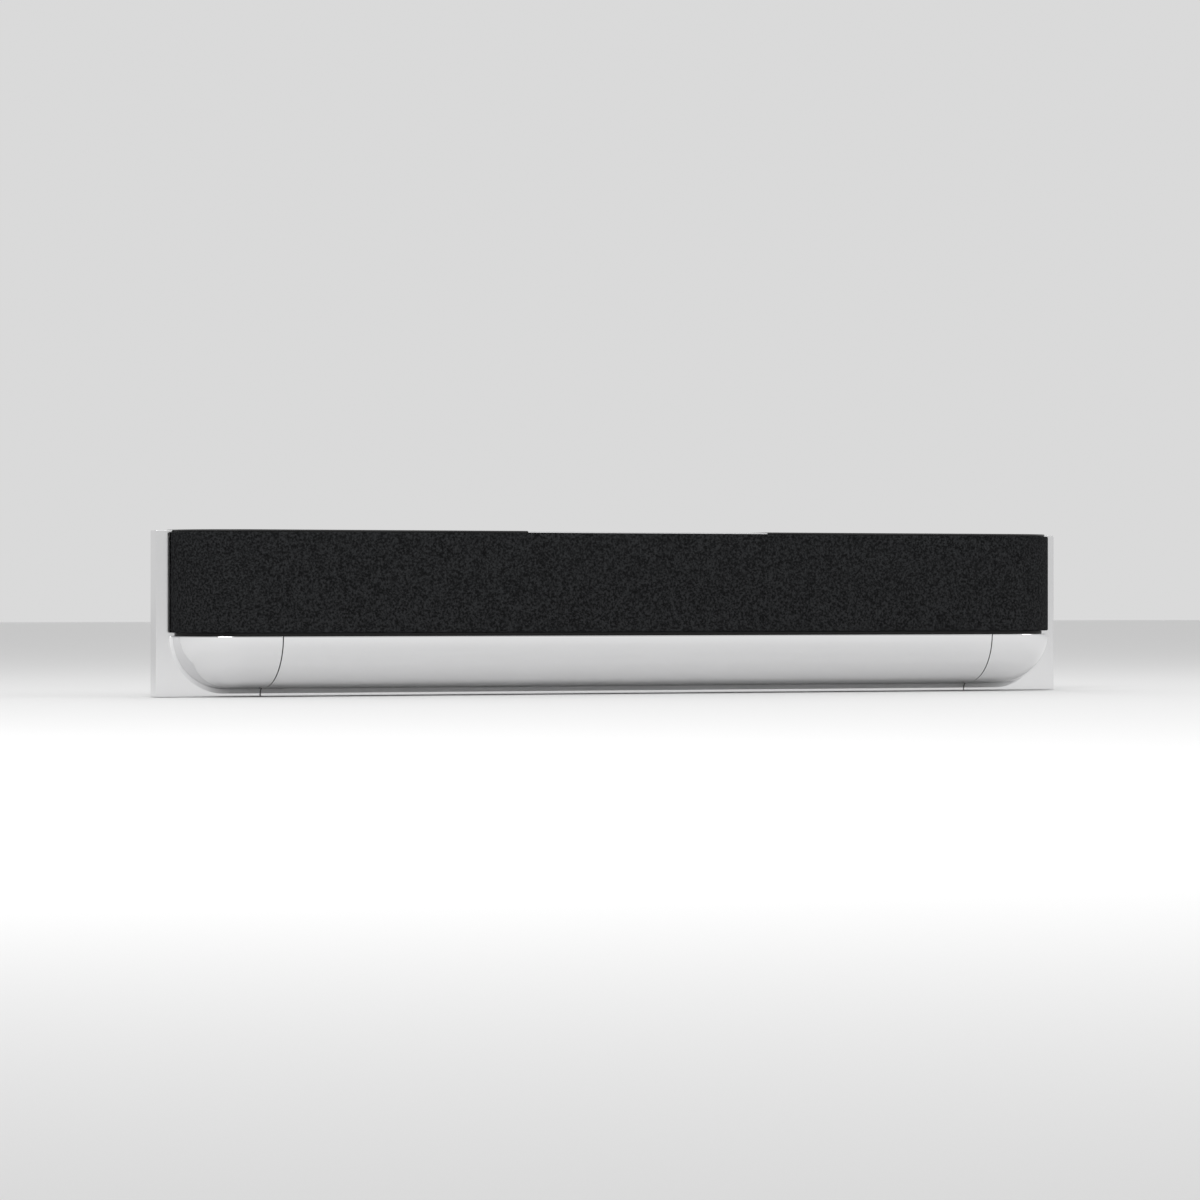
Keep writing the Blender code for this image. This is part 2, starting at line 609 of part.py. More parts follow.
def basket_profile(unit):
    """Frame, roll's fixed half and magnet of a drive unit, with the voice coil's groove."""
    crest = unit["flange"] - FLANGE_RIM - unit["roll"] / 2
    floor = -unit["basket"] + 0.002
    pole = unit["coil"] - COIL_WALL - COIL_CLEARANCE
    groove = unit["coil"] + COIL_CLEARANCE
    groove_floor = -unit["basket"] - unit["height"] * 0.7
    top = FLANGE_THICKNESS + unit["roll"] * 0.45
    outer = cutout_radius(unit) - CUTOUT_CLEARANCE
    return [
        (0, floor), (pole, floor), (pole, groove_floor), (groove, groove_floor), (groove, floor),
        (unit["magnet"] * 0.85, floor), (crest + ROLL_SPLIT, -unit["travel"] - 0.003),
        (crest + ROLL_SPLIT, top), (crest + unit["roll"] * 0.35, FLANGE_THICKNESS + unit["roll"] * 0.3),
        (crest + unit["roll"] / 2, FLANGE_THICKNESS), (unit["flange"], FLANGE_THICKNESS),
        (unit["flange"], GAP), (outer, GAP), (outer, -0.004), (unit["magnet"] + 0.002, -unit["basket"]),
        (unit["magnet"], -unit["basket"]), (unit["magnet"], -unit["basket"] - unit["height"]),
        (0, -unit["basket"] - unit["height"])]


def cone_profile(unit):
    """Cone, roll's moving half, voice coil tube and dust cap."""
    crest = unit["flange"] - FLANGE_RIM - unit["roll"] / 2
    edge = crest - unit["roll"] / 2
    top = FLANGE_THICKNESS + unit["roll"] * 0.45
    neck = -unit["cone"]
    coil_end = -unit["basket"] - unit["travel"] * 0.2 - 0.001
    cap = unit["coil"] * 0.35
    return [
        (0, neck + cap), (unit["coil"] * 0.6, neck + cap * 0.75), (unit["coil"], neck + CONE_WALL),
        (edge, FLANGE_THICKNESS), (crest - unit["roll"] * 0.3, top - unit["roll"] * 0.1),
        (crest - ROLL_SPLIT, top), (crest - ROLL_SPLIT, FLANGE_THICKNESS - CONE_WALL),
        (edge, FLANGE_THICKNESS - CONE_WALL), (unit["coil"], neck - CONE_WALL), (unit["coil"], coil_end),
        (unit["coil"] - COIL_WALL, coil_end), (unit["coil"] - COIL_WALL, neck),
        (0, neck + cap - CONE_WALL)]


def open_cone_profile(unit):
    """Ring-shaped cone that leaves room for a tweeter in its middle."""
    closed = cone_profile(unit)
    return [(unit["coil"] - COIL_WALL, -unit["cone"] + CONE_WALL)] + closed[2:11]


def cutout_radius(unit):
    """Hole in the baffle that the unit's basket goes through."""
    return unit["flange"] - FLANGE_RIM - CUTOUT_CLEARANCE


def drive_unit(name, unit, place, cutout_reach=0.02, hole_radius=None, ring=False):
    """Frame and cone of one drive unit and its hole in the baffle. Local +Z is the firing axis."""
    turned(name + "_frame", basket_profile(unit), place, BLACK_METAL, segments=unit["segments"])
    profile = open_cone_profile(unit) if ring else cone_profile(unit)
    turned(name + "_cone", profile, place, PAPER_CONE, closed=ring, segments=unit["segments"])
    radius = hole_radius or cutout_radius(unit)
    boolean(baffle, rod(name + "_hole_tool", radius, cutout_reach, place, None, unit["segments"]))


def front_place(x):
    """Matrix of a unit on the flat front of the baffle."""
    return Matrix.Translation((x, y_at(BAFFLE_REACH), DRIVER_Z)) @ Matrix.Rotation(math.pi / 2, 4, "X")


for side, side_name in ((-1, "left"), (1, "right")):
    drive_unit(side_name + "_woofer", WOOFER, front_place(side * WOOFER_X))
    drive_unit(side_name + "_midrange", MIDRANGE, front_place(side * MIDRANGE_X))

    corner_x = side * (BAFFLE_END_X - BAFFLE_CHAMFER / 2)
    corner_y = y_at(BAFFLE_REACH - BAFFLE_CHAMFER / 2)
    side_place = (Matrix.Translation((corner_x, corner_y, DRIVER_Z))
                  @ Matrix.Rotation(side * math.pi / 4, 4, "Z") @ Matrix.Rotation(math.pi / 2, 4, "X"))
    drive_unit(side_name + "_side_driver", SIDE, side_place)

    seat = COVER_TOP - BAFFLE_WALL - GAP - FLANGE_THICKNESS
    upward_place = Matrix.Translation((side * UPWARD_X, y_at(UPWARD_REACH), seat))
    drive_unit(side_name + "_upward_driver", UPWARD, upward_place, 0.03,
               UPWARD["flange"] - FLANGE_RIM + CUTOUT_CLEARANCE)

    tweeter_place = front_place(side * TWEETER_X)
    tweeter_profile = [
        (0, -0.0005), (DOME_RADIUS * 0.55, -0.0022), (DOME_RADIUS, -0.0075), (DOME_RADIUS + 0.0015, -0.0075),
        (TWEETER_RADIUS - 0.002, FLANGE_THICKNESS), (TWEETER_RADIUS, FLANGE_THICKNESS),
        (TWEETER_RADIUS, GAP), (TWEETER_BODY, GAP), (TWEETER_BODY, -TWEETER_DEPTH), (0, -TWEETER_DEPTH)]
    turned(side_name + "_tweeter", tweeter_profile, tweeter_place, SOFT_DOME)
    boolean(baffle, rod(side_name + "_tweeter_hole_tool", TWEETER_BODY + CUTOUT_CLEARANCE, 0.02,
                        tweeter_place))
    for end_name, x in PEGS:
        boolean(baffle, rod(side_name + "_" + end_name + "_peg_hole_tool", PEG_RADIUS + PEG_CLEARANCE,
                            0.02, front_place(side * x), None, 16))

drive_unit("centre_midrange", CENTRE, front_place(0), ring=True)
tweeter_foot = -CENTRE["basket"] + 0.002 + GAP
tweeter_face = -0.001
turned("centre_tweeter", [
    (0, tweeter_face), (DOME_RADIUS * 0.5, tweeter_face - 0.0012),
    (DOME_RADIUS * 0.85, tweeter_face - 0.0045),
    (CENTRE_TWEETER_RADIUS - 0.001, tweeter_face - 0.002), (CENTRE_TWEETER_RADIUS, tweeter_face - 0.003),
    (CENTRE_TWEETER_RADIUS, tweeter_face - 0.012), (CENTRE_TWEETER_POST, tweeter_face - 0.016),
    (CENTRE_TWEETER_POST, tweeter_foot),
    (0, tweeter_foot)], front_place(0), SOFT_DOME)


# Rear housing with its connector bay -----------------------------------------------------------

def rounded_rectangle(half, low, high, radius):
    """Outline with four round corners as (x, z)."""
    points = []
    for x, z, start in ((half - radius, high - radius, 0), (radius - half, high - radius, 90),
                        (radius - half, low + radius, 180), (half - radius, low + radius, 270)):
        points += arc((x, z), radius, start, start + 90, 5)
    return points


housing = prism("rear_housing", rounded_rectangle(HOUSING_HALF, HOUSING_BOTTOM, HOUSING_TOP, HOUSING_CORNER),
                y_at(-HOUSING_FRONT), y_at(-HOUSING_BACK), "Y", BLACK_PLASTIC)
housing_hollow = prism("housing_hollow_tool", rounded_rectangle(
    HOUSING_HALF - HOUSING_WALL, HOUSING_BOTTOM + HOUSING_WALL, HOUSING_TOP - HOUSING_WALL,
    HOUSING_CORNER - HOUSING_WALL), y_at(0.01), y_at(-HOUSING_BACK + HOUSING_BACK_WALL), "Y")
boolean(housing, housing_hollow)
tray = block("bay_tray_tool", (-BAY_HALF - BAY_WALL, BAY_HALF + BAY_WALL),
             (-BAY_FLOOR + BAY_WALL, -HOUSING_BACK + 0.002),
             (BAY_BOTTOM - BAY_WALL, BAY_TOP + BAY_WALL))
boolean(housing, tray, "UNION")
bay = block("bay_hollow_tool", (-BAY_HALF, BAY_HALF), (-BAY_FLOOR, -HOUSING_BACK - 0.01),
            (BAY_BOTTOM, BAY_TOP))
boolean(housing, bay)

lid = block("cable_cover", (-BAY_HALF + LID_CLEARANCE, BAY_HALF - LID_CLEARANCE),
            (-HOUSING_BACK + BAY_LID, -HOUSING_BACK),
            (BAY_BOTTOM + LID_CLEARANCE, BAY_TOP - LID_CLEARANCE), BLACK_PLASTIC)
exit_notch = block("cable_exit_tool", (-EXIT_HALF, EXIT_HALF),
                   (-HOUSING_BACK + BAY_LID + 0.005, -HOUSING_BACK - 0.005),
                   (BAY_BOTTOM - 0.01, BAY_BOTTOM + EXIT_HEIGHT))
boolean(lid, exit_notch)

# Sockets stand on a panel on the bay's floor and face backwards.
connector_front = BAY_FLOOR + GAP
connector_back = connector_front + PANEL_THICKNESS
connector_panel = block("connector_panel", (-BAY_HALF + SOCKET_MARGIN, BAY_HALF - SOCKET_MARGIN),
                        (-connector_front, -connector_back),
                        (BAY_BOTTOM + SOCKET_MARGIN, BAY_TOP - SOCKET_MARGIN), BLACK_METAL)


def socket(name, x, width, height, depth, mouths, mouth_width, mouth_height, mouth_depth):
    """Block with one or more blind mouths that face backwards."""
    low = SOCKET_ROW_Z - height / 2
    high = SOCKET_ROW_Z + height / 2
    front = connector_back + GAP
    part = block(name, (x - width / 2, x + width / 2), (-front, -front - depth), (low, high), BLACK_METAL)
    pitch = width / mouths
    boxes = []
    for index in range(mouths):
        middle = x - width / 2 + pitch * (index + 0.5)
        boxes.append(((middle - mouth_width / 2, middle + mouth_width / 2),
                      (-front - depth + mouth_depth, -front - depth - 0.005),
                      (SOCKET_ROW_Z - mouth_height / 2, SOCKET_ROW_Z + mouth_height / 2), 0))
    boolean(part, joined_boxes(name + "_mouths_tool", boxes))


socket("mains_inlet", BAY_HALF - MAINS_FROM_END, 0.034, 0.026, 0.014, 1, 0.0285, 0.0200, 0.011)
socket("video_socket_block", VIDEO_X, 0.104, 0.013, 0.012, 4, 0.0156, 0.0062, 0.009)
socket("network_socket_block", NETWORK_FROM_END - BAY_HALF, 0.038, 0.017, 0.014, 2, 0.0122, 0.0085, 0.011)

button_middle = connector_back + GAP + BUTTON_TRAVEL_ROOM + BUTTON_LENGTH / 2
button_place = Matrix.Translation((BUTTON_X, y_at(-button_middle), SOCKET_ROW_Z))
rod("setup_button", BUTTON_RADIUS, BUTTON_LENGTH,
    button_place @ Matrix.Rotation(math.pi / 2, 4, "X"), BLACK_PLASTIC, 16)


# Feet and hanging plates -----------------------------------------------------------------------

for side, side_name in ((-1, "left"), (1, "right")):
    foot_x = side * (HOUSING_HALF - FOOT_FROM_END)
    foot_middle = (LIP_DEPTH + HOUSING_BACK) / 2 + FOOT_SETBACK
    block(side_name + "_rear_foot", (foot_x - FOOT_LENGTH / 2, foot_x + FOOT_LENGTH / 2),
          (-foot_middle + FOOT_WIDTH / 2, -foot_middle - FOOT_WIDTH / 2), (0, FOOT_HEIGHT), RUBBER)
    plate = block(side_name + "_hanging_plate",
                  (side * PLATE_X - PLATE_WIDTH / 2, side * PLATE_X + PLATE_WIDTH / 2),
                  (-HOUSING_BACK - GAP, -REAR_REACH),
                  (PLATE_Z - PLATE_HEIGHT / 2, PLATE_Z + PLATE_HEIGHT / 2),
                  STEEL)
    keyhole_place = (Matrix.Translation((side * PLATE_X, y_at(-REAR_REACH), PLATE_Z - KEYHOLE_DROP))
                     @ Matrix.Rotation(math.pi / 2, 4, "X"))
    boolean(plate, rod(side_name + "_keyhole_tool", KEYHOLE_RADIUS, 0.02, keyhole_place, None, 20))
    boolean(plate, block(side_name + "_keyhole_slot_tool",
                         (side * PLATE_X - KEYHOLE_SLOT, side * PLATE_X + KEYHOLE_SLOT),
                         (-HOUSING_BACK + 0.01, -REAR_REACH - 0.01),
                         (PLATE_Z - KEYHOLE_DROP, PLATE_Z + KEYHOLE_RISE)))
    pocket_half = KEYHOLE_RADIUS + POCKET_MARGIN
    boolean(housing, block(side_name + "_screw_pocket_tool",
                           (side * PLATE_X - pocket_half, side * PLATE_X + pocket_half),
                           (-HOUSING_BACK + POCKET_DEPTH, -HOUSING_BACK - 0.01),
                           (PLATE_Z - KEYHOLE_DROP - pocket_half, PLATE_Z + KEYHOLE_RISE + POCKET_MARGIN)))


# Electronics inside the rear housing ------------------------------------------------------------

CAVITY_BACK = HOUSING_BACK - HOUSING_BACK_WALL
board_back = CAVITY_BACK - BOARD_STANDOFF
board_front = board_back - BOARD


def board(name, x, z):
    """Circuit board on spacers in front of the housing's back wall."""
    return block(name, x, (-board_front, -board_back), z, BOARD_GREEN)


board_end = HOUSING_HALF - BOARD_FROM_END
board_z = (BOARD_BOTTOM, HOUSING_TOP - BOARD_DROP)
board("power_supply_board", (board_end - BOARD_LENGTH, board_end), board_z)
board("amplifier_board", (-board_end, BOARD_LENGTH - board_end), board_z)
board("main_board", (-MAIN_BOARD_HALF, MAIN_BOARD_HALF),
      (BAY_TOP + MAIN_BOARD_ABOVE_BAY, HOUSING_TOP - MAIN_BOARD_DROP))

transformer_front = board_front - GAP
transformer_end = board_end - TRANSFORMER_FROM_END
block("mains_transformer", (transformer_end - TRANSFORMER_SIZE[0], transformer_end),
      (-transformer_front + TRANSFORMER_SIZE[1], -transformer_front),
      (TRANSFORMER_BOTTOM, TRANSFORMER_BOTTOM + TRANSFORMER_SIZE[2]), STEEL)

sink_half = HEAT_SINK_HALF
sink_pitch = 2 * sink_half / (HEAT_SINK_FINS - 1)
sink_front = transformer_front - HEAT_SINK_DEPTH
sink_middle = BOARD_LENGTH / 2 - board_end
sink_outline = [(sink_middle - sink_half - HEAT_SINK_FIN / 2, y_at(-transformer_front)),
                (sink_middle + sink_half + HEAT_SINK_FIN / 2, y_at(-transformer_front))]
for index in reversed(range(HEAT_SINK_FINS)):
    fin = sink_middle - sink_half + index * sink_pitch
    sink_outline += [(fin + HEAT_SINK_FIN / 2, y_at(-sink_front)),
                     (fin - HEAT_SINK_FIN / 2, y_at(-sink_front))]
    if index:
        root_y = y_at(-transformer_front + HEAT_SINK_BASE)
        sink_outline += [(fin - HEAT_SINK_FIN / 2, root_y), (fin - sink_pitch + HEAT_SINK_FIN / 2, root_y)]
prism("heat_sink", sink_outline, HEAT_SINK_BOTTOM, HEAT_SINK_BOTTOM + HEAT_SINK_HEIGHT, "Z", ALUMINIUM)

touch_top = COVER_TOP - BAFFLE_WALL - GAP
block("touch_board", *TOUCH_BOARD, (touch_top - BOARD, touch_top), BOARD_GREEN)
receiver_reach = BAFFLE_REACH - BAFFLE_WALL - GAP
block("remote_receiver_board", RECEIVER_X, (receiver_reach - BOARD, receiver_reach),
      (DRIVER_Z - RECEIVER_HALF_HEIGHT, DRIVER_Z + RECEIVER_HALF_HEIGHT), BOARD_GREEN)
for side, side_name in ((-1, "left"), (1, "right")):
    antenna_x = side * (HALF - ANTENNA_FROM_END)
    block(side_name + "_antenna", (antenna_x - ANTENNA_HALF, antenna_x + ANTENNA_HALF),
          (-PANEL_WALL - GAP, -PANEL_WALL - GAP - BOARD), ANTENNA_Z, BOARD_GREEN)
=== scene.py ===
import math

import bpy
from mathutils import Matrix, Vector


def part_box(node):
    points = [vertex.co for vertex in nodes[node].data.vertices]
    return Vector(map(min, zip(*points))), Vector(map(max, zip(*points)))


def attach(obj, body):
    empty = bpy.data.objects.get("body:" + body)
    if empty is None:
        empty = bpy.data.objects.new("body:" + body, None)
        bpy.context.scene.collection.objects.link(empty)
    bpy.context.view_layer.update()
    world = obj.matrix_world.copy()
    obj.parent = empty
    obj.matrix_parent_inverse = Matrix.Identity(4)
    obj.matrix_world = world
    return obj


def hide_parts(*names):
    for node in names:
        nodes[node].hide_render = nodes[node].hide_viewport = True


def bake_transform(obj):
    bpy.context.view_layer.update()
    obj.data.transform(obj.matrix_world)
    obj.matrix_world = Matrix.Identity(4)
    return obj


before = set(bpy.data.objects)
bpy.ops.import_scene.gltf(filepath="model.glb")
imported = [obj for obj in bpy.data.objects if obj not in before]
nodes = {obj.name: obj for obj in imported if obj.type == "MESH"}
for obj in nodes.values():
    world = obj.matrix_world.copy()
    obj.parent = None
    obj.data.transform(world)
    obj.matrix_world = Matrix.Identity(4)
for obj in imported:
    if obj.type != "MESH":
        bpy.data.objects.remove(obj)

bpy.ops.object.select_all(action="DESELECT")
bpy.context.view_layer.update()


# ---------------------------------------------------------------- camera
# A long lens, level with the middle of the bar and a little to its left.

scene = bpy.context.scene
CAMERA_PLACE = (-2.870966, -5.856855, 0.1142)
CAMERA_TURN = -25.875
LENS, SENSOR = 159.8, 36
bpy.ops.object.camera_add(location=CAMERA_PLACE,
                          rotation=(math.radians(90), 0, math.radians(CAMERA_TURN)))
camera = bpy.context.object
camera.data.sensor_width = SENSOR
camera.data.lens = LENS
scene.camera = camera
scene.view_settings.view_transform = "Standard"


# ---------------------------------------------------------------- studio
# One plain pale floor in an even pale room. Three large softboxes light everything alike: the main
# one in front and to the left, a weaker one to the right, and one overhead.

ROOM_LIGHT = 0.7
FLOOR_PAINT = (0.80, 0.80, 0.80, 1)
FLOOR_DROP = 0.0005
world = bpy.data.worlds.new("studio")
scene.world = world
world.use_nodes = True
room = world.node_tree.nodes["Background"].inputs
room["Color"].default_value = (1, 1, 1, 1)
room["Strength"].default_value = ROOM_LIGHT

bpy.ops.mesh.primitive_plane_add(size=40, location=(0, 0, -FLOOR_DROP))
floor = bpy.context.object
floor.name = "floor"
floor_paint = bpy.data.materials.new("floor_paint")
floor_paint.use_nodes = True
paint = floor_paint.node_tree.nodes["Principled BSDF"].inputs
paint["Base Color"].default_value = FLOOR_PAINT
paint["Roughness"].default_value = 0.9
paint["Specular IOR Level"].default_value = 0.1
floor.data.materials.append(floor_paint)


def softbox(name, place, aim, width, height, power):
    """Rectangular soft light that faces a point."""
    bpy.ops.object.light_add(type="AREA", location=place)
    box = bpy.context.object
    box.name = name
    box.rotation_euler = (Vector(aim) - Vector(place)).to_track_quat("-Z", "Y").to_euler()
    box.data.shape = "RECTANGLE"
    box.data.size, box.data.size_y = width, height
    box.data.energy = power
    return box


AIM = (0, 0, 0.1)
softbox("front_softbox", (-2.5, -3.5, 2.8), AIM, 2.0, 2.0, 90)
softbox("right_softbox", (3.5, -2.5, 1.8), AIM, 1.6, 1.6, 30)
softbox("top_softbox", (0, 0.2, 2.8), AIM, 2.4, 1.0, 12)


# ---------------------------------------------------------------- back panel
# Extruded and cast aluminium, blasted fine and anodised clear: one long middle and two ends that
# meet it at a hairline joint. A rim 20 mm deep turns back all round, and its edges are broken. The
# rear of an end's rim narrows a little.

def add_node(tree, kind, values=None, **settings):
    """New shader node; a value that is a socket is linked, any other is set."""
    made = tree.nodes.new(kind)
    for key, value in settings.items():
        setattr(made, key, value)
    for key, value in (values or {}).items():
        if isinstance(value, bpy.types.NodeSocket):
            tree.links.new(value, made.inputs[key])
        else:
            made.inputs[key].default_value = value
    return made


def scaled(tree, value, low, high, to_low, to_high):
    """A value mapped from one range to another, and held at the ends."""
    made = add_node(tree, "ShaderNodeMapRange", {"Value": value, "From Min": low, "From Max": high,
                                                 "To Min": to_low, "To Max": to_high})
    return made.outputs["Result"]


def finish(name, colour, roughness, metallic=0.0, grain=900.0, rough=0.05, bump=0.0, cloudy=0.0):
    """Material with fine grain: roughness and height vary at the grain's scale, colour slowly."""
    made = bpy.data.materials.new(name)
    made.use_nodes = True
    tree = made.node_tree
    shader = tree.nodes["Principled BSDF"]
    shader.inputs["Base Color"].default_value = (*colour, 1)
    shader.inputs["Metallic"].default_value = metallic
    place = add_node(tree, "ShaderNodeTexCoord").outputs["Object"]
    speckle = add_node(tree, "ShaderNodeTexNoise", {"Vector": place, "Scale": grain, "Detail": 3.0})
    level = scaled(tree, speckle.outputs["Fac"], 0.3, 0.7, max(0.02, roughness - rough),
                   roughness + rough)
    tree.links.new(level, shader.inputs["Roughness"])
    if bump:
        raised = add_node(tree, "ShaderNodeBump", {"Height": speckle.outputs["Fac"],
                                                   "Distance": bump, "Strength": 1.0})
        tree.links.new(raised.outputs["Normal"], shader.inputs["Normal"])
    if cloudy:
        cloud = add_node(tree, "ShaderNodeTexNoise", {"Vector": place, "Scale": 14.0, "Detail": 2.0})
        dark = [channel * (1 - cloudy) for channel in colour]
        pale = [min(1.0, channel * (1 + cloudy)) for channel in colour]
        blend = add_node(tree, "ShaderNodeMix", {0: cloud.outputs["Fac"], 6: (*dark, 1),
                                                 7: (*pale, 1)}, data_type="RGBA")
        tree.links.new(blend.outputs[2], shader.inputs["Base Color"])
    return made


def dress(piece, material, slot, body, *stands_for):
    """Gives a finished piece its material and ties it to its body. The slot is not used."""
    piece.data.materials.clear()
    piece.data.materials.append(material)
    if stands_for:
        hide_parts(*stands_for)
    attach(piece, body)
    return piece


def only(piece):
    """Makes a piece the only one selected."""
    bpy.ops.object.select_all(action="DESELECT")
    piece.select_set(True)
    bpy.context.view_layer.objects.active = piece


def edges_broken(piece, width, segments=2, angle=40):
    """Rounds a piece's sharp edges and shades it smooth between them."""
    only(piece)
    if width:
        rounding = piece.modifiers.new("rounding", "BEVEL")
        rounding.width = width
        rounding.segments = segments
        rounding.limit_method = "ANGLE"
        rounding.angle_limit = math.radians(angle)
        bpy.ops.object.modifier_apply(modifier=rounding.name)
    bpy.ops.object.shade_smooth_by_angle(angle=math.radians(35))
    flats = piece.modifiers.new("flats", "WEIGHTED_NORMAL")
    flats.mode = "FACE_AREA"
    flats.weight = 100
    flats.keep_sharp = True
    bpy.ops.object.modifier_apply(modifier=flats.name)
    return piece


def drawn_out(name, corners, axis, low, high):
    """Closed outline extruded along an axis. Corners are (y, z) on X, (x, z) on Y, (x, y) on Z."""
    bpy.ops.mesh.primitive_circle_add(vertices=len(corners), radius=1, fill_type="NGON")
    piece = bpy.context.object
    piece.name = name
    order = {"X": (2, 0, 1), "Y": (0, 2, 1), "Z": (0, 1, 2)}[axis]
    for vertex, (first, second) in zip(piece.data.vertices, corners):
        place = (first, second, low)
        vertex.co = [place[index] for index in order]
    bpy.ops.object.mode_set(mode="EDIT")
    bpy.ops.mesh.select_all(action="SELECT")
    step = {"X": (high - low, 0, 0), "Y": (0, high - low, 0), "Z": (0, 0, high - low)}[axis]
    bpy.ops.mesh.extrude_region_move(TRANSFORM_OT_translate={"value": step})
    bpy.ops.mesh.select_all(action="SELECT")
    bpy.ops.mesh.normals_make_consistent(inside=False)
    bpy.ops.object.mode_set(mode="OBJECT")
    return piece


satin_aluminium = finish("satin_aluminium", (0.83, 0.83, 0.835), 0.12, 1.0, grain=2600, rough=0.02,
                         bump=0.0000015, cloudy=0.01)

FACE_Y = -0.003
RIM_Y = 0.017
WALL = 0.004
EDGE = 0.0010
SEAM_EDGE = 0.0007
SEAM_SHORT = 0.0002
low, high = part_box("centre_keel_section")
MIDDLE_END, PANEL_LOW, MIDDLE_TOP = high[0] - SEAM_SHORT, low[2], high[2]
back = FACE_Y + WALL
section = [(FACE_Y, PANEL_LOW), (FACE_Y, MIDDLE_TOP), (RIM_Y, MIDDLE_TOP),
           (RIM_Y, MIDDLE_TOP - WALL), (back, MIDDLE_TOP - WALL), (back, PANEL_LOW + WALL),
           (RIM_Y, PANEL_LOW + WALL), (RIM_Y, PANEL_LOW)]
middle = edges_broken(drawn_out("middle_panel", section, "X", -MIDDLE_END, MIDDLE_END), SEAM_EDGE)
dress(middle, satin_aluminium, "satin_aluminium", "chassis", "centre_keel_section")

NOTCH_X = 0.5899
RELIEF_DEPTH, RELIEF = 0.0052, 0.0006
low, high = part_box("right_end_casting")
CASTING_START, PANEL_END, PANEL_TOP = low[0] + SEAM_SHORT, high[0], high[2]
for side, side_name in ((-1, "left"), (1, "right")):
    outline = [(CASTING_START, PANEL_LOW), (PANEL_END, PANEL_LOW), (PANEL_END, PANEL_TOP),
               (NOTCH_X, PANEL_TOP), (NOTCH_X, MIDDLE_TOP), (CASTING_START, MIDDLE_TOP)]
    outline = [(side * x, z) for x, z in outline]
    end = drawn_out(side_name + "_end_panel", outline, "Y", FACE_Y, RIM_Y - RELIEF_DEPTH)
    only(end)
    bpy.ops.object.mode_set(mode="EDIT")
    bpy.ops.mesh.select_all(action="DESELECT")
    bpy.ops.object.mode_set(mode="OBJECT")
    for face in end.data.polygons:
        face.select = face.normal.y > 0.9
    bpy.ops.object.mode_set(mode="EDIT")
    bpy.ops.mesh.extrude_region_move(TRANSFORM_OT_translate={"value": (0, RELIEF_DEPTH, 0)})
    narrower = 1 - RELIEF / (PANEL_END - CASTING_START)
    bpy.ops.transform.resize(value=(narrower, 1, 1), center_override=(side * CASTING_START, 0, 0))
    bpy.ops.mesh.inset(thickness=WALL)
    bpy.ops.mesh.extrude_region_move(TRANSFORM_OT_translate={"value": (0, back - RIM_Y, 0)})
    bpy.ops.object.mode_set(mode="OBJECT")
    edges_broken(end, EDGE, 3)
    dress(end, satin_aluminium, "satin_aluminium", "chassis", side_name + "_end_casting")


# ---------------------------------------------------------------- keel
# The rounded nose under the cloth, cast and extruded in one with the panel: a quarter-round
# profile that runs along the front and turns round both ends, with a soft fillet at its root.

KEEL_RADIUS = 0.062
KEEL_CENTRE = (0.010, 0.072)
KEEL_TOP = 0.0714
KEEL_AXIS_X = 0.5185
ROOT_FILLET, SIDE_FILLET = 0.007, 0.0045
KEEL_SKIN = 0.003


def loft(name, rows, inside):
    """Smooth sheet through rows of points, facing away from a point inside."""
    count = len(rows[0])
    bpy.ops.mesh.primitive_grid_add(x_subdivisions=count - 1, y_subdivisions=len(rows) - 1)
    piece = bpy.context.object
    piece.name = name
    for vertex, place in zip(piece.data.vertices, [place for row in rows for place in row]):
        vertex.co = place
    piece.data.update()
    inside = Vector(inside)
    outward = sum(face.area * face.normal.dot(face.center - inside) for face in piece.data.polygons)
    bpy.ops.object.mode_set(mode="EDIT")
    bpy.ops.mesh.select_all(action="SELECT")
    if outward < 0:
        bpy.ops.mesh.flip_normals()
    bpy.ops.mesh.remove_doubles(threshold=0.000002)
    bpy.ops.object.mode_set(mode="OBJECT")
    return piece


def thickened(piece, thickness, offset=-1.0):
    """Gives a sheet a wall."""
    only(piece)
    wall = piece.modifiers.new("wall", "SOLIDIFY")
    wall.thickness = thickness
    wall.offset = offset
    bpy.ops.object.modifier_apply(modifier=wall.name)
    return piece


def turns(start, end, steps):
    """Angles in radians from start to end, in degrees, both counted."""
    return [math.radians(start + (end - start) * index / steps) for index in range(steps + 1)]


first_turn = math.degrees(math.asin((KEEL_CENTRE[1] - KEEL_TOP) / KEEL_RADIUS))
nose = [(KEEL_CENTRE[0] + KEEL_RADIUS * math.cos(turn), KEEL_CENTRE[1] - KEEL_RADIUS * math.sin(turn),
         turn) for turn in turns(first_turn, 90, 56)]
KEEL_LOW = nose[-1][1]
fillet = [(1 - math.sin(turn), 1 - math.cos(turn)) for turn in turns(0, 90, 10)]

rows = []
for x in [MIDDLE_END * (step / 12 - 1) for step in range(25)]:
    row = [(x, FACE_Y - reach, z) for reach, z, turn in nose]
    row += [(x, FACE_Y - ROOT_FILLET * out, KEEL_LOW - ROOT_FILLET * down) for out, down in fillet]
    rows.append(row)
nose_middle = loft("middle_keel", rows, (0, FACE_Y - 0.02, 0.07))
edges_broken(thickened(nose_middle, KEEL_SKIN), SEAM_EDGE, 2, 60)
dress(nose_middle, satin_aluminium, "satin_aluminium", "chassis", "centre_keel_section")

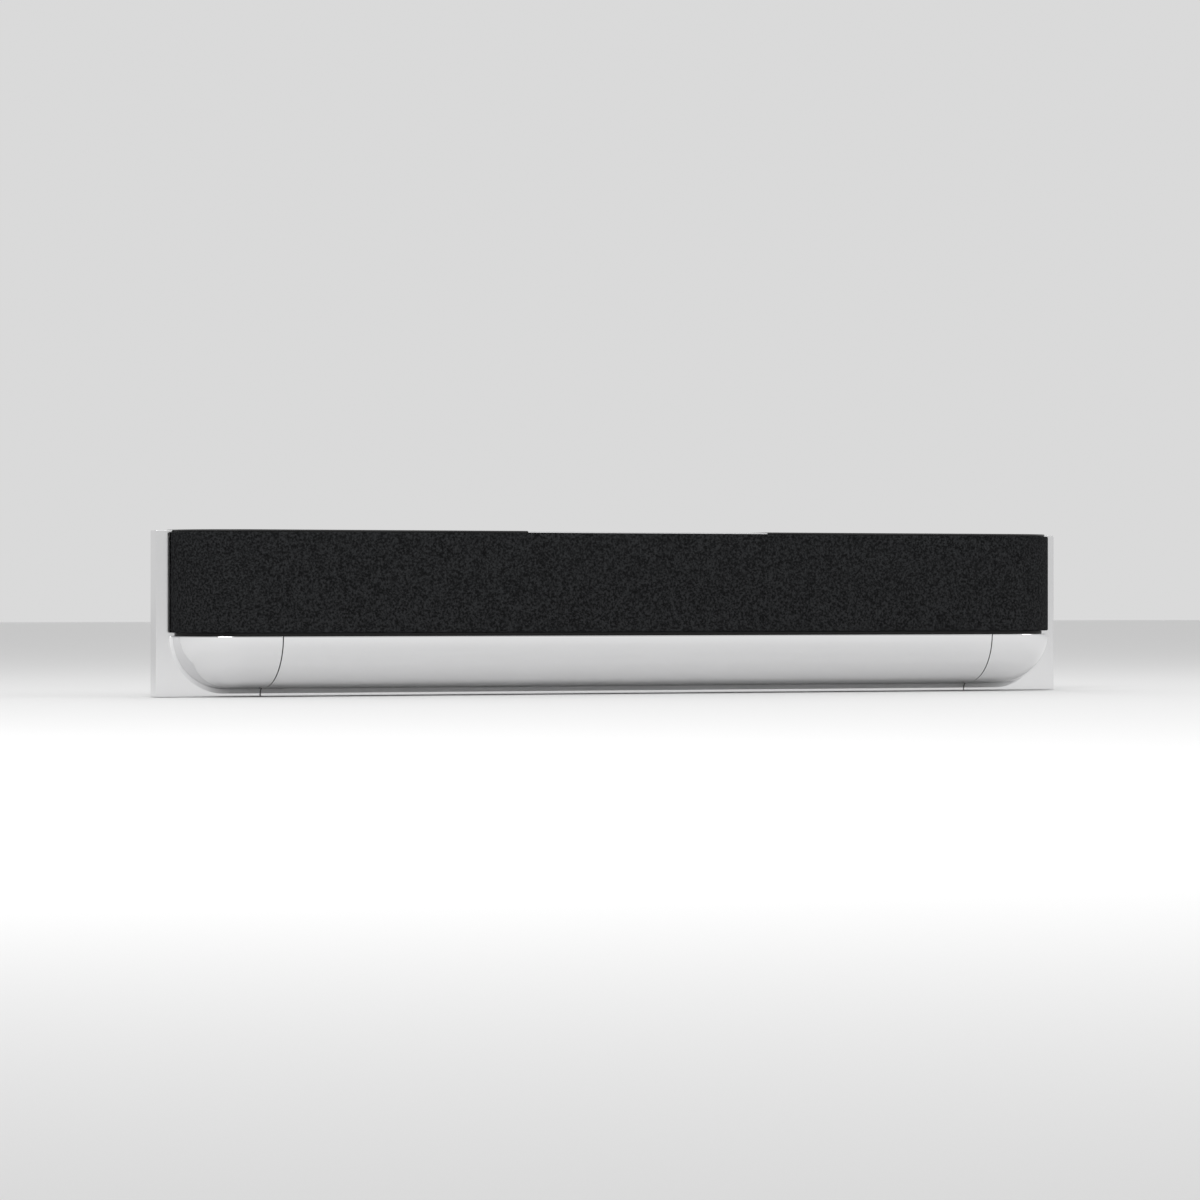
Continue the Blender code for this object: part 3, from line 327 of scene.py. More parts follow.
for side, side_name in ((-1, "left"), (1, "right")):
    rows = []
    for reach, z, turn in nose:
        ease = (turn / math.radians(90)) ** 2
        radius = SIDE_FILLET + (ROOT_FILLET - SIDE_FILLET) * ease
        last = math.acos(min(1.0, radius / reach))
        row = [(CASTING_START + (KEEL_AXIS_X - CASTING_START) * step / 4, reach, z) for step in range(4)]
        row += [(KEEL_AXIS_X + reach * math.sin(last * step / 44),
                 reach * math.cos(last * step / 44), z) for step in range(45)]
        foot = row[-1]
        row += [(foot[0] + radius * down * math.cos(turn), radius * out,
                 z - radius * down * math.sin(turn)) for out, down in fillet[1:]]
        rows.append(row)
    flat = [(x, min(reach, ROOT_FILLET), z) for x, reach, z in rows[-1]]
    spread = len(flat) - len(fillet) + 1
    under = []
    for step, (out, down) in enumerate(fillet):
        row = [(x, ROOT_FILLET * out, KEEL_LOW - ROOT_FILLET * down) for x, reach, z in flat[:spread]]
        corner_x = flat[spread - 1][0]
        for column in range(1, len(fillet)):
            far_out, far_down = fillet[max(step, column)]
            row.append((corner_x, ROOT_FILLET * far_out, KEEL_LOW - ROOT_FILLET * far_down))
        under.append(row)
    rows += under
    rows = [[(side * x, FACE_Y - reach, z) for x, reach, z in row] for row in rows]
    nose_end = loft(side_name + "_end_keel", rows, (side * 0.50, FACE_Y - 0.01, 0.07))
    edges_broken(thickened(nose_end, KEEL_SKIN), SEAM_EDGE, 2, 60)
    dress(nose_end, satin_aluminium, "satin_aluminium", "chassis", side_name + "_end_casting")


# ---------------------------------------------------------------- joint seals
# A thin black seal fills each joint between the middle and an end, just below the surface.

SEAL_DEPTH = 0.0007
SEAL_WALL = 0.0016
seal_black = finish("seal_black", (0.004, 0.004, 0.004), 0.7, grain=1500, rough=0.08)
for side, side_name in ((-1, "left"), (1, "right")):
    rows = []
    for x in (MIDDLE_END + 0.00003, CASTING_START - 0.00003):
        row = [(reach - SEAL_DEPTH * math.cos(turn), z + SEAL_DEPTH * math.sin(turn))
               for reach, z, turn in nose]
        row += [(ROOT_FILLET * out - SEAL_DEPTH * (1 - out),
                 KEEL_LOW - ROOT_FILLET * down + SEAL_DEPTH * (1 - down)) for out, down in fillet[1:]]
        row.append((-SEAL_DEPTH, PANEL_LOW + 0.0009))
        rows.append([(side * x, FACE_Y - reach, z) for reach, z in row])
    seal = loft(side_name + "_joint_seal", rows, (side * MIDDLE_END, FACE_Y, 0.07))
    dress(thickened(seal, SEAL_WALL), seal_black, "satin_aluminium", "chassis",
          side_name + "_end_casting")


# ---------------------------------------------------------------- dark gap
# Matt black moulding that fills the top of the keel and shows as a dark line under the cloth. Its
# near-black is partly the moulding's own colour and partly painted shade of the recessed gap.

def softened(node, name, width, segments=2, angle=40):
    """Copy of a CAD node with its edges rounded."""
    bpy.ops.object.select_all(action="DESELECT")
    piece = bpy.data.objects.new(name, nodes[node].data.copy())
    piece.matrix_world = nodes[node].matrix_world
    scene.collection.objects.link(piece)
    only(piece)
    bpy.ops.object.mode_set(mode="EDIT")
    bpy.ops.mesh.select_all(action="SELECT")
    bpy.ops.mesh.remove_doubles(threshold=0.00001)
    bpy.ops.mesh.dissolve_limited(angle_limit=math.radians(1))
    bpy.ops.object.mode_set(mode="OBJECT")
    bpy.ops.object.transform_apply(location=True, rotation=True, scale=True)
    return edges_broken(piece, width, segments, angle)


# Near-black: partly the moulding's colour, partly painted shade of the gap under the cloth.
gap_shade_black = finish("gap_shade_black", (0.006, 0.006, 0.006), 0.6, grain=1500, rough=0.08, bump=0.00002)
deck = softened("shadow_gap_deck", "dark_gap_moulding", 0.0004)
dress(deck, gap_shade_black, "baffle_plastic", "chassis", "shadow_gap_deck")


# ---------------------------------------------------------------- cloth cover
# Acoustic cloth in a dark melange, stretched over a moulded frame, bent round both ends and
# turned in and glued along every edge. It pulls straight forward off its pegs.

low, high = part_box("cover_fabric")
REAR_OVERHANG = 0.0025
COVER_FRONT, COVER_REAR = low[1], high[1] + REAR_OVERHANG
COVER_LOW, COVER_TOP = low[2], high[2]
COVER_CORNER = 0.085
COVER_CENTRE_X = 0.5088
CLOTH = 0.0006
TURN_IN = 0.0046
EDGE_ROUND = 0.0014


def math_node(tree, operation, first, second):
    """The result of one arithmetic step."""
    made = add_node(tree, "ShaderNodeMath", {0: first, 1: second}, operation=operation)
    return made.outputs["Value"]


def mixed(tree, factor, first, second):
    """A number between two, by factor."""
    made = add_node(tree, "ShaderNodeMix", {0: factor, 2: first, 3: second}, data_type="FLOAT")
    return made.outputs[0]


def cover_path(inset, corner_steps=36, straight_steps=40):
    """Places along the cover's outline seen from above, from its left rear edge to its right."""
    centre = (COVER_CENTRE_X, COVER_FRONT + COVER_CORNER)
    radius = COVER_CORNER - inset
    start = math.degrees(math.asin(min(1.0, (COVER_REAR - centre[1]) / -radius)))
    right = [(centre[0] + radius * math.cos(turn), centre[1] - radius * math.sin(turn))
             for turn in turns(start, 90, corner_steps)]
    run = [(centre[0] * (1 - 2 * step / straight_steps), centre[1] - radius)
           for step in range(1, straight_steps)]
    path = right + run + [(-x, y) for x, y in reversed(right)]
    return path[::-1]


edge_turns = turns(0, 90, 5)
cut = [(CLOTH / 2 + TURN_IN, 0.0)]
cut += [(CLOTH / 2 + EDGE_ROUND * (1 - math.sin(turn)), EDGE_ROUND * (1 - math.cos(turn)))
        for turn in edge_turns]
side_run = COVER_TOP - COVER_LOW - CLOTH - 2 * EDGE_ROUND
cut += [(CLOTH / 2, EDGE_ROUND + side_run * step / 16) for step in range(1, 16)]
full = COVER_TOP - COVER_LOW - CLOTH
cut += [(inset, full - rise) for inset, rise in cut[:len(edge_turns) + 1]][::-1]
columns = []
for inset, rise in cut:
    path = cover_path(inset)
    hem = cover_path(CLOTH / 2 + TURN_IN)
    path = [hem[0]] + path + [hem[-1]]
    columns.append([(x, y, COVER_LOW + CLOTH / 2 + rise) for x, y in path])
rows = [[column[step] for column in columns] for step in range(len(columns[0]))]
cover = loft("cover_cloth", rows, (0, 0, (COVER_LOW + COVER_TOP) / 2))
along = [0.0]
for before, after in zip(columns[8], columns[8][1:]):
    along.append(along[-1] + (Vector(after) - Vector(before)).length)
around = [0.0]
for before, after in zip(rows[60], rows[60][1:]):
    around.append(around[-1] + (Vector(after) - Vector(before)).length)
weave_map = cover.data.uv_layers.active or cover.data.uv_layers.new(name="weave")
weave_map.name = "weave"
nearest = {}
for across, row in enumerate(rows):
    for up, place in enumerate(row):
        nearest.setdefault(tuple(round(part, 5) for part in place), (along[across], around[up]))
for loop in cover.data.loops:
    place = tuple(round(part, 5) for part in cover.data.vertices[loop.vertex_index].co)
    if place in nearest:
        weave_map.data[loop.index].uv = nearest[place]
thickened(cover, CLOTH, 0.0)
only(cover)
bpy.ops.object.shade_smooth_by_angle(angle=math.radians(50))

cloth = bpy.data.materials.new("melange_cloth")
cloth.use_nodes = True
tree = cloth.node_tree
shader = tree.nodes["Principled BSDF"]
shader.inputs["Roughness"].default_value = 0.9
shader.inputs["Specular IOR Level"].default_value = 0.03
shader.inputs["Sheen Weight"].default_value = 0.002
shader.inputs["Sheen Roughness"].default_value = 0.35
shader.inputs["Sheen Tint"].default_value = (0.9, 0.92, 0.95, 1)
woven = add_node(tree, "ShaderNodeUVMap", uv_map="weave").outputs["UV"]
THREADS = 900.0
thread_place = add_node(tree, "ShaderNodeMapping", {"Vector": woven, "Scale": (THREADS,) * 3})
weft = add_node(tree, "ShaderNodeTexWave", {"Vector": thread_place.outputs[0], "Scale": 0.5,
                                            "Distortion": 0.6, "Detail": 1.0, "Detail Scale": 1.0},
                bands_direction="X")
warp = add_node(tree, "ShaderNodeTexWave", {"Vector": thread_place.outputs[0], "Scale": 0.5,
                                            "Distortion": 0.6, "Detail": 1.0, "Detail Scale": 1.0},
                bands_direction="Y")
over = add_node(tree, "ShaderNodeTexChecker", {"Vector": thread_place.outputs[0], "Scale": 1.0})
height = mixed(tree, over.outputs["Fac"], weft.outputs["Fac"], warp.outputs["Fac"])
place = add_node(tree, "ShaderNodeTexCoord").outputs["Object"]
fibre = add_node(tree, "ShaderNodeTexNoise", {"Vector": place, "Scale": 400.0, "Detail": 2.0,
                                              "Roughness": 0.6})
patch = add_node(tree, "ShaderNodeTexNoise", {"Vector": place, "Scale": 1300.0, "Detail": 1.0})
melange_and_weave_shade = mixed(tree, 0.25, fibre.outputs["Fac"], patch.outputs["Fac"])
# The weave's height is added to the colour too: the hollows between threads get painted shade on top of the
# melange's random tone.
melange_and_weave_shade = math_node(tree, "ADD", melange_and_weave_shade, math_node(tree, "MULTIPLY", height, 0.10))
tones = add_node(tree, "ShaderNodeValToRGB", {"Fac": melange_and_weave_shade})
tones.color_ramp.elements[0].position = 0.47
tones.color_ramp.elements[0].color = (0.006, 0.0062, 0.0065, 1)
tones.color_ramp.elements[1].position = 0.66
tones.color_ramp.elements[1].color = (0.030, 0.031, 0.0325, 1)
tree.links.new(tones.outputs["Color"], shader.inputs["Base Color"])
raised = add_node(tree, "ShaderNodeBump", {"Height": height, "Distance": 0.00025, "Strength": 0.8})
tree.links.new(raised.outputs["Normal"], shader.inputs["Normal"])

dress(cover, cloth, "cover_cloth", "front_cover", "cover_fabric")

frame_black = finish("frame_black", (0.012, 0.012, 0.012), 0.55, grain=1200, rough=0.08, bump=0.00003)
for node in ("cover_frame", "left_cover_end", "right_cover_end"):
    dress(softened(node, node + "_moulding", 0.0006, 2, 60), frame_black, "cover_plastic",
          "front_cover", node)
for side_name in ("left", "right"):
    for which in ("outer", "inner"):
        node = side_name + "_" + which + "_cover_peg"
        dress(softened(node, node + "_turned", 0.0006, 2, 60), frame_black, "cover_plastic",
              "front_cover", node)


# ---------------------------------------------------------------- top grilles
# Two pressed steel plates painted satin black, each with slots over an upward drive unit.

low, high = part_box("right_top_grille")
GRILLE_INNER, GRILLE_OUTER = low[0], high[0]
GRILLE_REAR, GRILLE_LOW, GRILLE_TOP = high[1], low[2], high[2]
GRILLE_INSET = 0.0045
SLOTS, SLOT_PITCH, SLOT_WIDTH, SLOT_HALF = 8, 0.0062, 0.0028, 0.0368
unit_low, unit_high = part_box("right_upward_driver_frame")
UPWARD_X, UPWARD_Y = (unit_low[0] + unit_high[0]) / 2, (unit_low[1] + unit_high[1]) / 2
grille_black = finish("grille_black", (0.010, 0.010, 0.0105), 0.42, grain=1700, rough=0.06,
                      bump=0.00002)


def slot_cutter(name, x, y, low, high):
    """Rounded bar that cuts one slot."""
    radius, run = SLOT_WIDTH / 2, SLOT_HALF - SLOT_WIDTH / 2
    ends = [(x + run + radius * math.sin(turn), y - radius * math.cos(turn))
            for turn in turns(0, 180, 6)]
    ends += [(x - run - radius * math.sin(turn), y + radius * math.cos(turn))
             for turn in turns(0, 180, 6)]
    return drawn_out(name, ends, "Z", low, high)


def cut_away(piece, cutters):
    """Takes cutters out of a piece."""
    bpy.ops.object.select_all(action="DESELECT")
    for cutter in cutters:
        cutter.select_set(True)
    bpy.context.view_layer.objects.active = cutters[0]
    if len(cutters) > 1:
        bpy.ops.object.join()
    tool = cutters[0]
    only(piece)
    hollow = piece.modifiers.new("hollow", "BOOLEAN")
    hollow.object = tool
    hollow.solver = "EXACT"
    bpy.ops.object.modifier_apply(modifier=hollow.name)
    bpy.data.objects.remove(tool, do_unlink=True)
    return piece


for side, side_name in ((-1, "left"), (1, "right")):
    half = [place for place in cover_path(GRILLE_INSET, 40, 2) if place[0] >= COVER_CENTRE_X]
    outline = [(GRILLE_INNER, GRILLE_REAR), (GRILLE_INNER, half[0][1])] + half
    outline += [(GRILLE_OUTER, 0.0), (GRILLE_OUTER, GRILLE_REAR)]
    outline = [(side * x, y) for x, y in outline]
    grille = drawn_out(side_name + "_grille_plate", outline, "Z", GRILLE_LOW, GRILLE_TOP)
    edges_broken(grille, 0.0005, 2, 50)
    places = [UPWARD_Y + (step - (SLOTS - 1) / 2) * SLOT_PITCH for step in range(SLOTS)]
    cut_away(grille, [slot_cutter("slot", side * UPWARD_X, y, GRILLE_LOW - 0.001, GRILLE_TOP + 0.001)
                      for y in places])
    edges_broken(grille, 0)
    dress(grille, grille_black, "grille_metal", "chassis", side_name + "_top_grille")


# ---------------------------------------------------------------- control panel
# Brushed aluminium touch plate between the grilles. Its plain signs are printed in dark grey,
# and a small lens in it glows while the bar is on.

low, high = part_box("control_panel")
CONTROL_HALF, CONTROL_TOP = high[0], high[2]
plate = [(-CONTROL_HALF, low[1]), (CONTROL_HALF, low[1]), (CONTROL_HALF, high[1]),
         (-CONTROL_HALF, high[1])]
control = edges_broken(drawn_out("control_plate", plate, "Z", low[2], CONTROL_TOP), 0.0004)
lens_low, lens_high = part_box("status_light")
lens_x, lens_y = (lens_low[0] + lens_high[0]) / 2, (lens_low[1] + lens_high[1]) / 2
lens_radius = (lens_high[0] - lens_low[0]) / 2
bpy.ops.mesh.primitive_cylinder_add(vertices=32, radius=lens_radius + 0.0003, depth=0.01,
                                    location=(lens_x, lens_y, CONTROL_TOP))
cut_away(control, [bpy.context.object])
edges_broken(control, 0)
brushed = finish("brushed_aluminium", (0.80, 0.80, 0.81), 0.24, 1.0, grain=1800, rough=0.05,
                 bump=0.000006)
tree = brushed.node_tree
speckle = tree.nodes["Noise Texture"]
place = tree.nodes["Texture Coordinate"].outputs["Object"]
stretched = add_node(tree, "ShaderNodeMapping", {"Vector": place, "Scale": (0.03, 1.0, 1.0)})
tree.links.new(stretched.outputs[0], speckle.inputs["Vector"])
dress(control, brushed, "control_aluminium", "chassis", "control_panel")

bpy.ops.mesh.primitive_cylinder_add(vertices=32, radius=lens_radius, depth=lens_high[2] - lens_low[2],
                                    location=(lens_x, lens_y, (lens_low[2] + lens_high[2]) / 2))
lens = bpy.context.object
lens.name = "status_lens"
bpy.ops.object.transform_apply(location=True, rotation=True, scale=True)
edges_broken(lens, 0.0003)
lens_white = finish("lens_white", (0.75, 0.76, 0.78), 0.18, grain=600, rough=0.03)
glow = lens_white.node_tree.nodes["Principled BSDF"].inputs
glow["Emission Color"].default_value = (1, 0.98, 0.92, 1)
glow["Emission Strength"].default_value = 0.8
dress(lens, lens_white, "light_lens", "chassis", "status_light")

sign_ink = finish("sign_ink", (0.05, 0.05, 0.055), 0.5, grain=2500, rough=0.05)
SIGN_Y, BAR, LONG = -0.030, 0.0006, 0.0036
VOLUME_X = 0.062
PAUSE_X = (-0.0215, -0.0185)
SIGNS = {
    "quieter_sign": [(-VOLUME_X, LONG, BAR)],
    "louder_sign": [(VOLUME_X, LONG, BAR), (VOLUME_X, BAR, LONG)],
    "pause_sign": [(x, BAR, LONG) for x in PAUSE_X],
}
for name, bars in SIGNS.items():
    strokes = []
    for x, wide, tall in bars:
        bpy.ops.mesh.primitive_cube_add(size=1, location=(x, SIGN_Y, CONTROL_TOP + 0.00002))
        stroke = bpy.context.object
        stroke.scale = (2 * wide, 2 * tall, 0.00006)
        bpy.ops.object.transform_apply(location=True, rotation=True, scale=True)
        edges_broken(stroke, 0.00001, 1)
        strokes.append(stroke)
    bpy.ops.object.select_all(action="DESELECT")
    for stroke in strokes:
        stroke.select_set(True)
    bpy.context.view_layer.objects.active = strokes[0]
    if len(strokes) > 1:
        bpy.ops.object.join()
    strokes[0].name = name
    dress(strokes[0], sign_ink, "control_aluminium", "chassis")
triangle = [(0.0185, SIGN_Y - LONG), (0.0245, SIGN_Y), (0.0185, SIGN_Y + LONG)]
start_sign = drawn_out("start_sign", triangle, "Z", CONTROL_TOP - 0.00001, CONTROL_TOP + 0.00005)
dress(edges_broken(start_sign, 0.00001, 1), sign_ink, "control_aluminium", "chassis")


# ---------------------------------------------------------------- front baffle
# Moulded black tub that carries the drive units; it is lightly spark-textured.

baffle_black = finish("baffle_black", (0.011, 0.011, 0.0115), 0.5, grain=700, rough=0.1, bump=0.00006)
baffle = softened("front_baffle", "baffle_moulding", 0.0008, 2, 55)
dress(baffle, baffle_black, "baffle_plastic", "chassis", "front_baffle")


# ---------------------------------------------------------------- drive units
# Each unit has a cast basket with a screwed rim, a rubber roll, a coated paper cone with a dust
# cap and a voice coil tube. The roll joins rim and cone.

basket_black = finish("basket_black", (0.016, 0.016, 0.017), 0.36, 0.5, grain=1100, rough=0.06,
                      bump=0.00003)
roll_rubber = finish("roll_rubber", (0.012, 0.012, 0.012), 0.55, grain=1500, rough=0.08, bump=0.00002)
cone_paper = finish("cone_paper", (0.020, 0.020, 0.022), 0.62, grain=520, rough=0.1, bump=0.00008,
                    cloudy=0.25)
screw_steel = finish("screw_steel", (0.05, 0.05, 0.052), 0.3, 1.0, grain=1300, rough=0.06)


def revolved(name, profile, place, steps=72):
    """Closed profile of (radius, height) pairs turned about a local Z axis."""
    rows = []
    for turn in turns(0, 360, steps):
        rows.append([place @ Vector((radius * math.cos(turn), radius * math.sin(turn), rise))
                     for radius, rise in profile + profile[:1]])
    piece = loft(name, rows, place @ Vector((0, 0, 0)))
    only(piece)
    bpy.ops.object.mode_set(mode="EDIT")
    bpy.ops.mesh.select_all(action="SELECT")
    bpy.ops.mesh.remove_doubles(threshold=0.000004)
    bpy.ops.mesh.normals_make_consistent(inside=False)
    bpy.ops.object.mode_set(mode="OBJECT")
    return edges_broken(piece, 0)


def screw(name, place, radius):
    """Pan head with a hexagon socket, standing on a local plane."""
    head = revolved(name, [(0.0, -0.0004), (radius, -0.0004), (radius, radius * 0.25),
                           (radius * 0.86, radius * 0.48), (radius * 0.5, radius * 0.62),
                           (0.0, radius * 0.66)], place, 24)
    bpy.ops.mesh.primitive_cylinder_add(vertices=6, radius=radius * 0.48, depth=radius)
    cutter = bpy.context.object
    cutter.matrix_world = place @ Matrix.Translation((0, 0, radius * 0.72))
    bpy.ops.object.transform_apply(location=True, rotation=True, scale=True)
    cut_away(head, [cutter])
    edges_broken(head, 0)
    return head


def joined(name, pieces):
    """Several pieces as one."""
    bpy.ops.object.select_all(action="DESELECT")
    for piece in pieces:
        piece.select_set(True)
    bpy.context.view_layer.objects.active = pieces[0]
    bpy.ops.object.join()
    pieces[0].name = name
    return pieces[0]


RIM = 0.003
RIM_THICKNESS = 0.002
SKIN = 0.0010


def drive_unit(name, place, flange, roll, cone, basket, magnet, height, coil, travel, screws,
               open_middle=False):
    """Basket, roll and cone of one unit. Local +Z is the way it fires, from the baffle's face."""
    edge = flange - RIM - roll
    sink = travel + 0.0012
    seat = RIM_THICKNESS
    outer = flange - RIM - 0.0012
    rounded = [(flange - 0.0007 * (1 - math.sin(turn)), seat - 0.0007 * (1 - math.cos(turn)))
               for turn in turns(0, 90, 3)]
    pole = coil - 0.0014
    frame_profile = [(0.0, -basket + 0.002), (pole, -basket + 0.002), (pole, -basket - height * 0.7),
                     (coil + 0.0006, -basket - height * 0.7), (coil + 0.0006, -basket + 0.002),
                     (magnet * 0.85, -basket + 0.002), (edge + 0.0004, -travel - sink - 0.003),
                     (flange - RIM - roll * 0.25, seat - 0.0010), (flange - RIM + 0.0004, seat)]
    frame_profile += rounded[::-1] + [(flange, 0.0003), (outer, 0.0003), (outer, -0.004),
                                      (magnet + 0.002, -basket), (magnet, -basket),
                                      (magnet, -basket - height + 0.001),
                                      (magnet - 0.001, -basket - height), (0.0, -basket - height)]
    dress(revolved(name + "_basket", frame_profile, place), basket_black, "basket_metal", "chassis",
          name + "_frame")
    heads = []
    for step in range(screws):
        turn = math.radians(45 + 360 * step / screws)
        spot = Matrix.Translation(((flange - RIM * 0.52) * math.cos(turn),
                                   (flange - RIM * 0.52) * math.sin(turn), seat))
        heads.append(screw("head", place @ spot, RIM * 0.36))
    dress(joined(name + "_screws", heads), screw_steel, "basket_metal", "chassis")

    crest = roll * 0.42
    arch = [(flange - RIM + 0.0006 - roll * 0.5 * (1 - math.cos(turn)),
             seat + crest * math.sin(turn) ** 0.8) for turn in turns(0, 90, 8)]
    inner = [(edge + (arch[-1][0] - edge) * math.cos(turn) ** 0.9,
              seat - sink + (arch[-1][1] - seat + sink) * (1 - math.sin(turn)) ** 0.9)
             for turn in turns(0, 90, 10)][1:]
    over = [(flange - RIM + 0.0022, seat + 0.0002)] + arch + inner + [(edge - 0.0016, seat - sink)]
    under = [(radius, rise - 0.0007) for radius, rise in over][::-1]
    surround = revolved(name + "_roll", over + under, place)
    surround.data.materials.clear()
    surround.data.materials.append(roll_rubber)
    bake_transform(surround)

    neck = -cone
    rim_rise = seat - sink - 0.0008
    steps = 10
    slope = []
    for step in range(steps + 1):
        part = step / steps
        slope.append((coil + (edge - coil) * part, neck + (rim_rise - neck) * part ** 0.82))
    tube_end = -basket - travel * 0.2 - 0.001
    if open_middle:
        shell = [(coil - 0.0008, neck)] + slope + [(edge + 0.0008, rim_rise)]
    else:
        cap = coil * 0.36
        shell = [(coil * math.sin(turn), neck + SKIN + cap * math.cos(turn)) for turn in turns(0, 90, 10)]
        shell += slope[1:] + [(edge + 0.0008, rim_rise)]
    back = [(edge + 0.0008, rim_rise - SKIN)]
    back += [(radius, rise - SKIN) for radius, rise in slope[:0:-1]]
    back += [(coil, neck - SKIN), (coil, tube_end), (coil - 0.0008, tube_end), (coil - 0.0008, neck - SKIN)]
    if not open_middle:
        back += [(0.0, neck + coil * 0.36 - SKIN)]
    dress(revolved(name + "_diaphragm", shell + back, place), cone_paper, "cone_paper", name + "_cone",
          name + "_cone")


def tweeter(name, place, flange, body, depth, dome):
    """Soft dome in a shallow waveguide with a round face plate."""
    horn = [(dome + 0.001 + (flange - 0.004 - dome) * part, 0.0006 - 0.0034 * (1 - part) ** 2)
            for part in [step / 8 for step in range(9)]]
    plate = [(0.0, -depth), (body, -depth), (body, 0.0003), (flange, 0.0003), (flange, 0.0016),
             (flange - 0.0006, 0.002), (flange - 0.0030, 0.002)] + horn[::-1]
    plate += [(dome + 0.0008, -0.0042), (0.0, -0.0042)]
    base = revolved(name + "_plate", plate, place)
    bubble = [(dome * math.sin(turn), -0.0040 + dome * 0.42 * math.cos(turn)) for turn in turns(0, 90, 10)]
    bubble += [(dome + 0.0009, -0.0034), (dome + 0.0015, -0.0040), (dome + 0.0015, -0.0046), (0.0, -0.0046)]
    silk = revolved(name + "_dome", bubble, place)
    dress(base, basket_black, "basket_metal", "chassis", name)
    dress(silk, dome_silk, "dome_silk", "chassis")


dome_silk = finish("dome_silk", (0.028, 0.028, 0.031), 0.42, grain=2400, rough=0.06, bump=0.00004)
# In order: flange radius, roll width, cone depth, basket depth, magnet radius, magnet height, voice
# coil radius, stroke each way, number of screws.
UNIT_SIZES = {
    "woofer": (0.0535, 0.009, 0.018, 0.032, 0.034, 0.016, 0.0190, 0.004, 8),
    "midrange": (0.0320, 0.005, 0.011, 0.020, 0.021, 0.013, 0.0110, 0.002, 6),
    "side_driver": (0.0290, 0.0045, 0.009, 0.017, 0.0155, 0.009, 0.0095, 0.002, 4),
    "upward_driver": (0.0248, 0.004, 0.009, 0.016, 0.0165, 0.011, 0.0090, 0.002, 4),
}
CENTRE_SIZES = (0.0530, 0.007, 0.019, 0.032, 0.033, 0.015, 0.0190, 0.003, 8)
CENTRE_UNIT_Z = 0.135
UPWARD_SEAT_Z = 0.187
SIDE_SEAT_X, SIDE_SEAT_REACH = 0.55805, 0.03515
# Face plate radius, body radius, depth and dome radius.
TWEETER_SIZES = (0.0225, 0.0165, 0.020, 0.0125)
FORWARD = Matrix.Rotation(math.radians(90), 4, "X")
BAFFLE_FACE_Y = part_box("front_baffle")[0][1]
for side, side_name in ((-1, "left"), (1, "right")):
    for kind, sizes in UNIT_SIZES.items():
        name = side_name + "_" + kind
        low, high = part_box(name + "_frame")
        middle = [(first + last) / 2 for first, last in zip(low, high)]
        if kind in ("woofer", "midrange"):
            place = Matrix.Translation((middle[0], BAFFLE_FACE_Y, middle[2])) @ FORWARD
        elif kind == "upward_driver":
            place = Matrix.Translation((middle[0], middle[1], UPWARD_SEAT_Z))
        else:
            place = (Matrix.Translation((side * SIDE_SEAT_X, FACE_Y - SIDE_SEAT_REACH, middle[2]))
                     @ Matrix.Rotation(side * math.radians(45), 4, "Z") @ FORWARD)
        drive_unit(name, place, *sizes)
    low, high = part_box(side_name + "_tweeter")
    place = Matrix.Translation(((low[0] + high[0]) / 2, BAFFLE_FACE_Y, (low[2] + high[2]) / 2)) @ FORWARD
    tweeter(side_name + "_tweeter", place, *TWEETER_SIZES)
middle_place = Matrix.Translation((0, BAFFLE_FACE_Y, CENTRE_UNIT_Z)) @ FORWARD
drive_unit("centre_midrange", middle_place, *CENTRE_SIZES, open_middle=True)
post = [(0.0, -0.0015), (0.0075, -0.0025), (0.0095, -0.0052), (0.0105, -0.0052), (0.0130, -0.0012),
        (0.0140, -0.0016), (0.0140, -0.013), (0.0070, -0.017), (0.0070, -0.0297), (0.0, -0.0297)]
dress(revolved("centre_tweeter_body", post, middle_place), dome_silk, "dome_silk", "chassis",
      "centre_tweeter")


# ---------------------------------------------------------------- rear housing
# Moulded black box behind the panel with rounded corners, shallow vent grooves, a bay for the
# cables and two pockets for the hanging plates.

low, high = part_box("rear_housing")
HOUSING_HALF, HOUSING_FRONT, HOUSING_BACK = high[0], low[1], high[1]
HOUSING_LOW, HOUSING_TOP = low[2], high[2]
housing = softened("rear_housing", "housing_moulding", 0.0010, 2, 50)
VENTS, VENT_PITCH, VENT_WIDTH, VENT_HALF = 8, 0.0062, 0.0026, 0.040
VENT_X, VENT_LOW, VENT_DEPTH = 0.048, 0.112, 0.0025
cutters = []
for x in (-VENT_X, VENT_X):
    for step in range(VENTS):
        z = VENT_LOW + step * VENT_PITCH
        outline = [(x + VENT_HALF + VENT_WIDTH / 2 * math.sin(turn), z - VENT_WIDTH / 2 * math.cos(turn))
                   for turn in turns(0, 180, 6)]
        outline += [(x - VENT_HALF - VENT_WIDTH / 2 * math.sin(turn), z + VENT_WIDTH / 2 * math.cos(turn))
                    for turn in turns(0, 180, 6)]
        cutters.append(drawn_out("vent", outline, "Y", HOUSING_BACK - VENT_DEPTH, HOUSING_BACK + 0.002))
cut_away(housing, cutters)
edges_broken(housing, 0)
housing_black = finish("housing_black", (0.013, 0.013, 0.0135), 0.5, grain=650, rough=0.1, bump=0.00007)
dress(housing, housing_black, "housing_plastic", "chassis", "rear_housing")
lid = softened("cable_cover", "cable_lid", 0.0008, 2, 50)
dress(lid, housing_black, "housing_plastic", "cable_cover", "cable_cover")
BACKWARD = Matrix.Rotation(math.radians(-90), 4, "X")
HOUSING_SCREW, SCREW_INSET, INNER_SCREW_X = 0.0034, 0.014, 0.165
heads = []
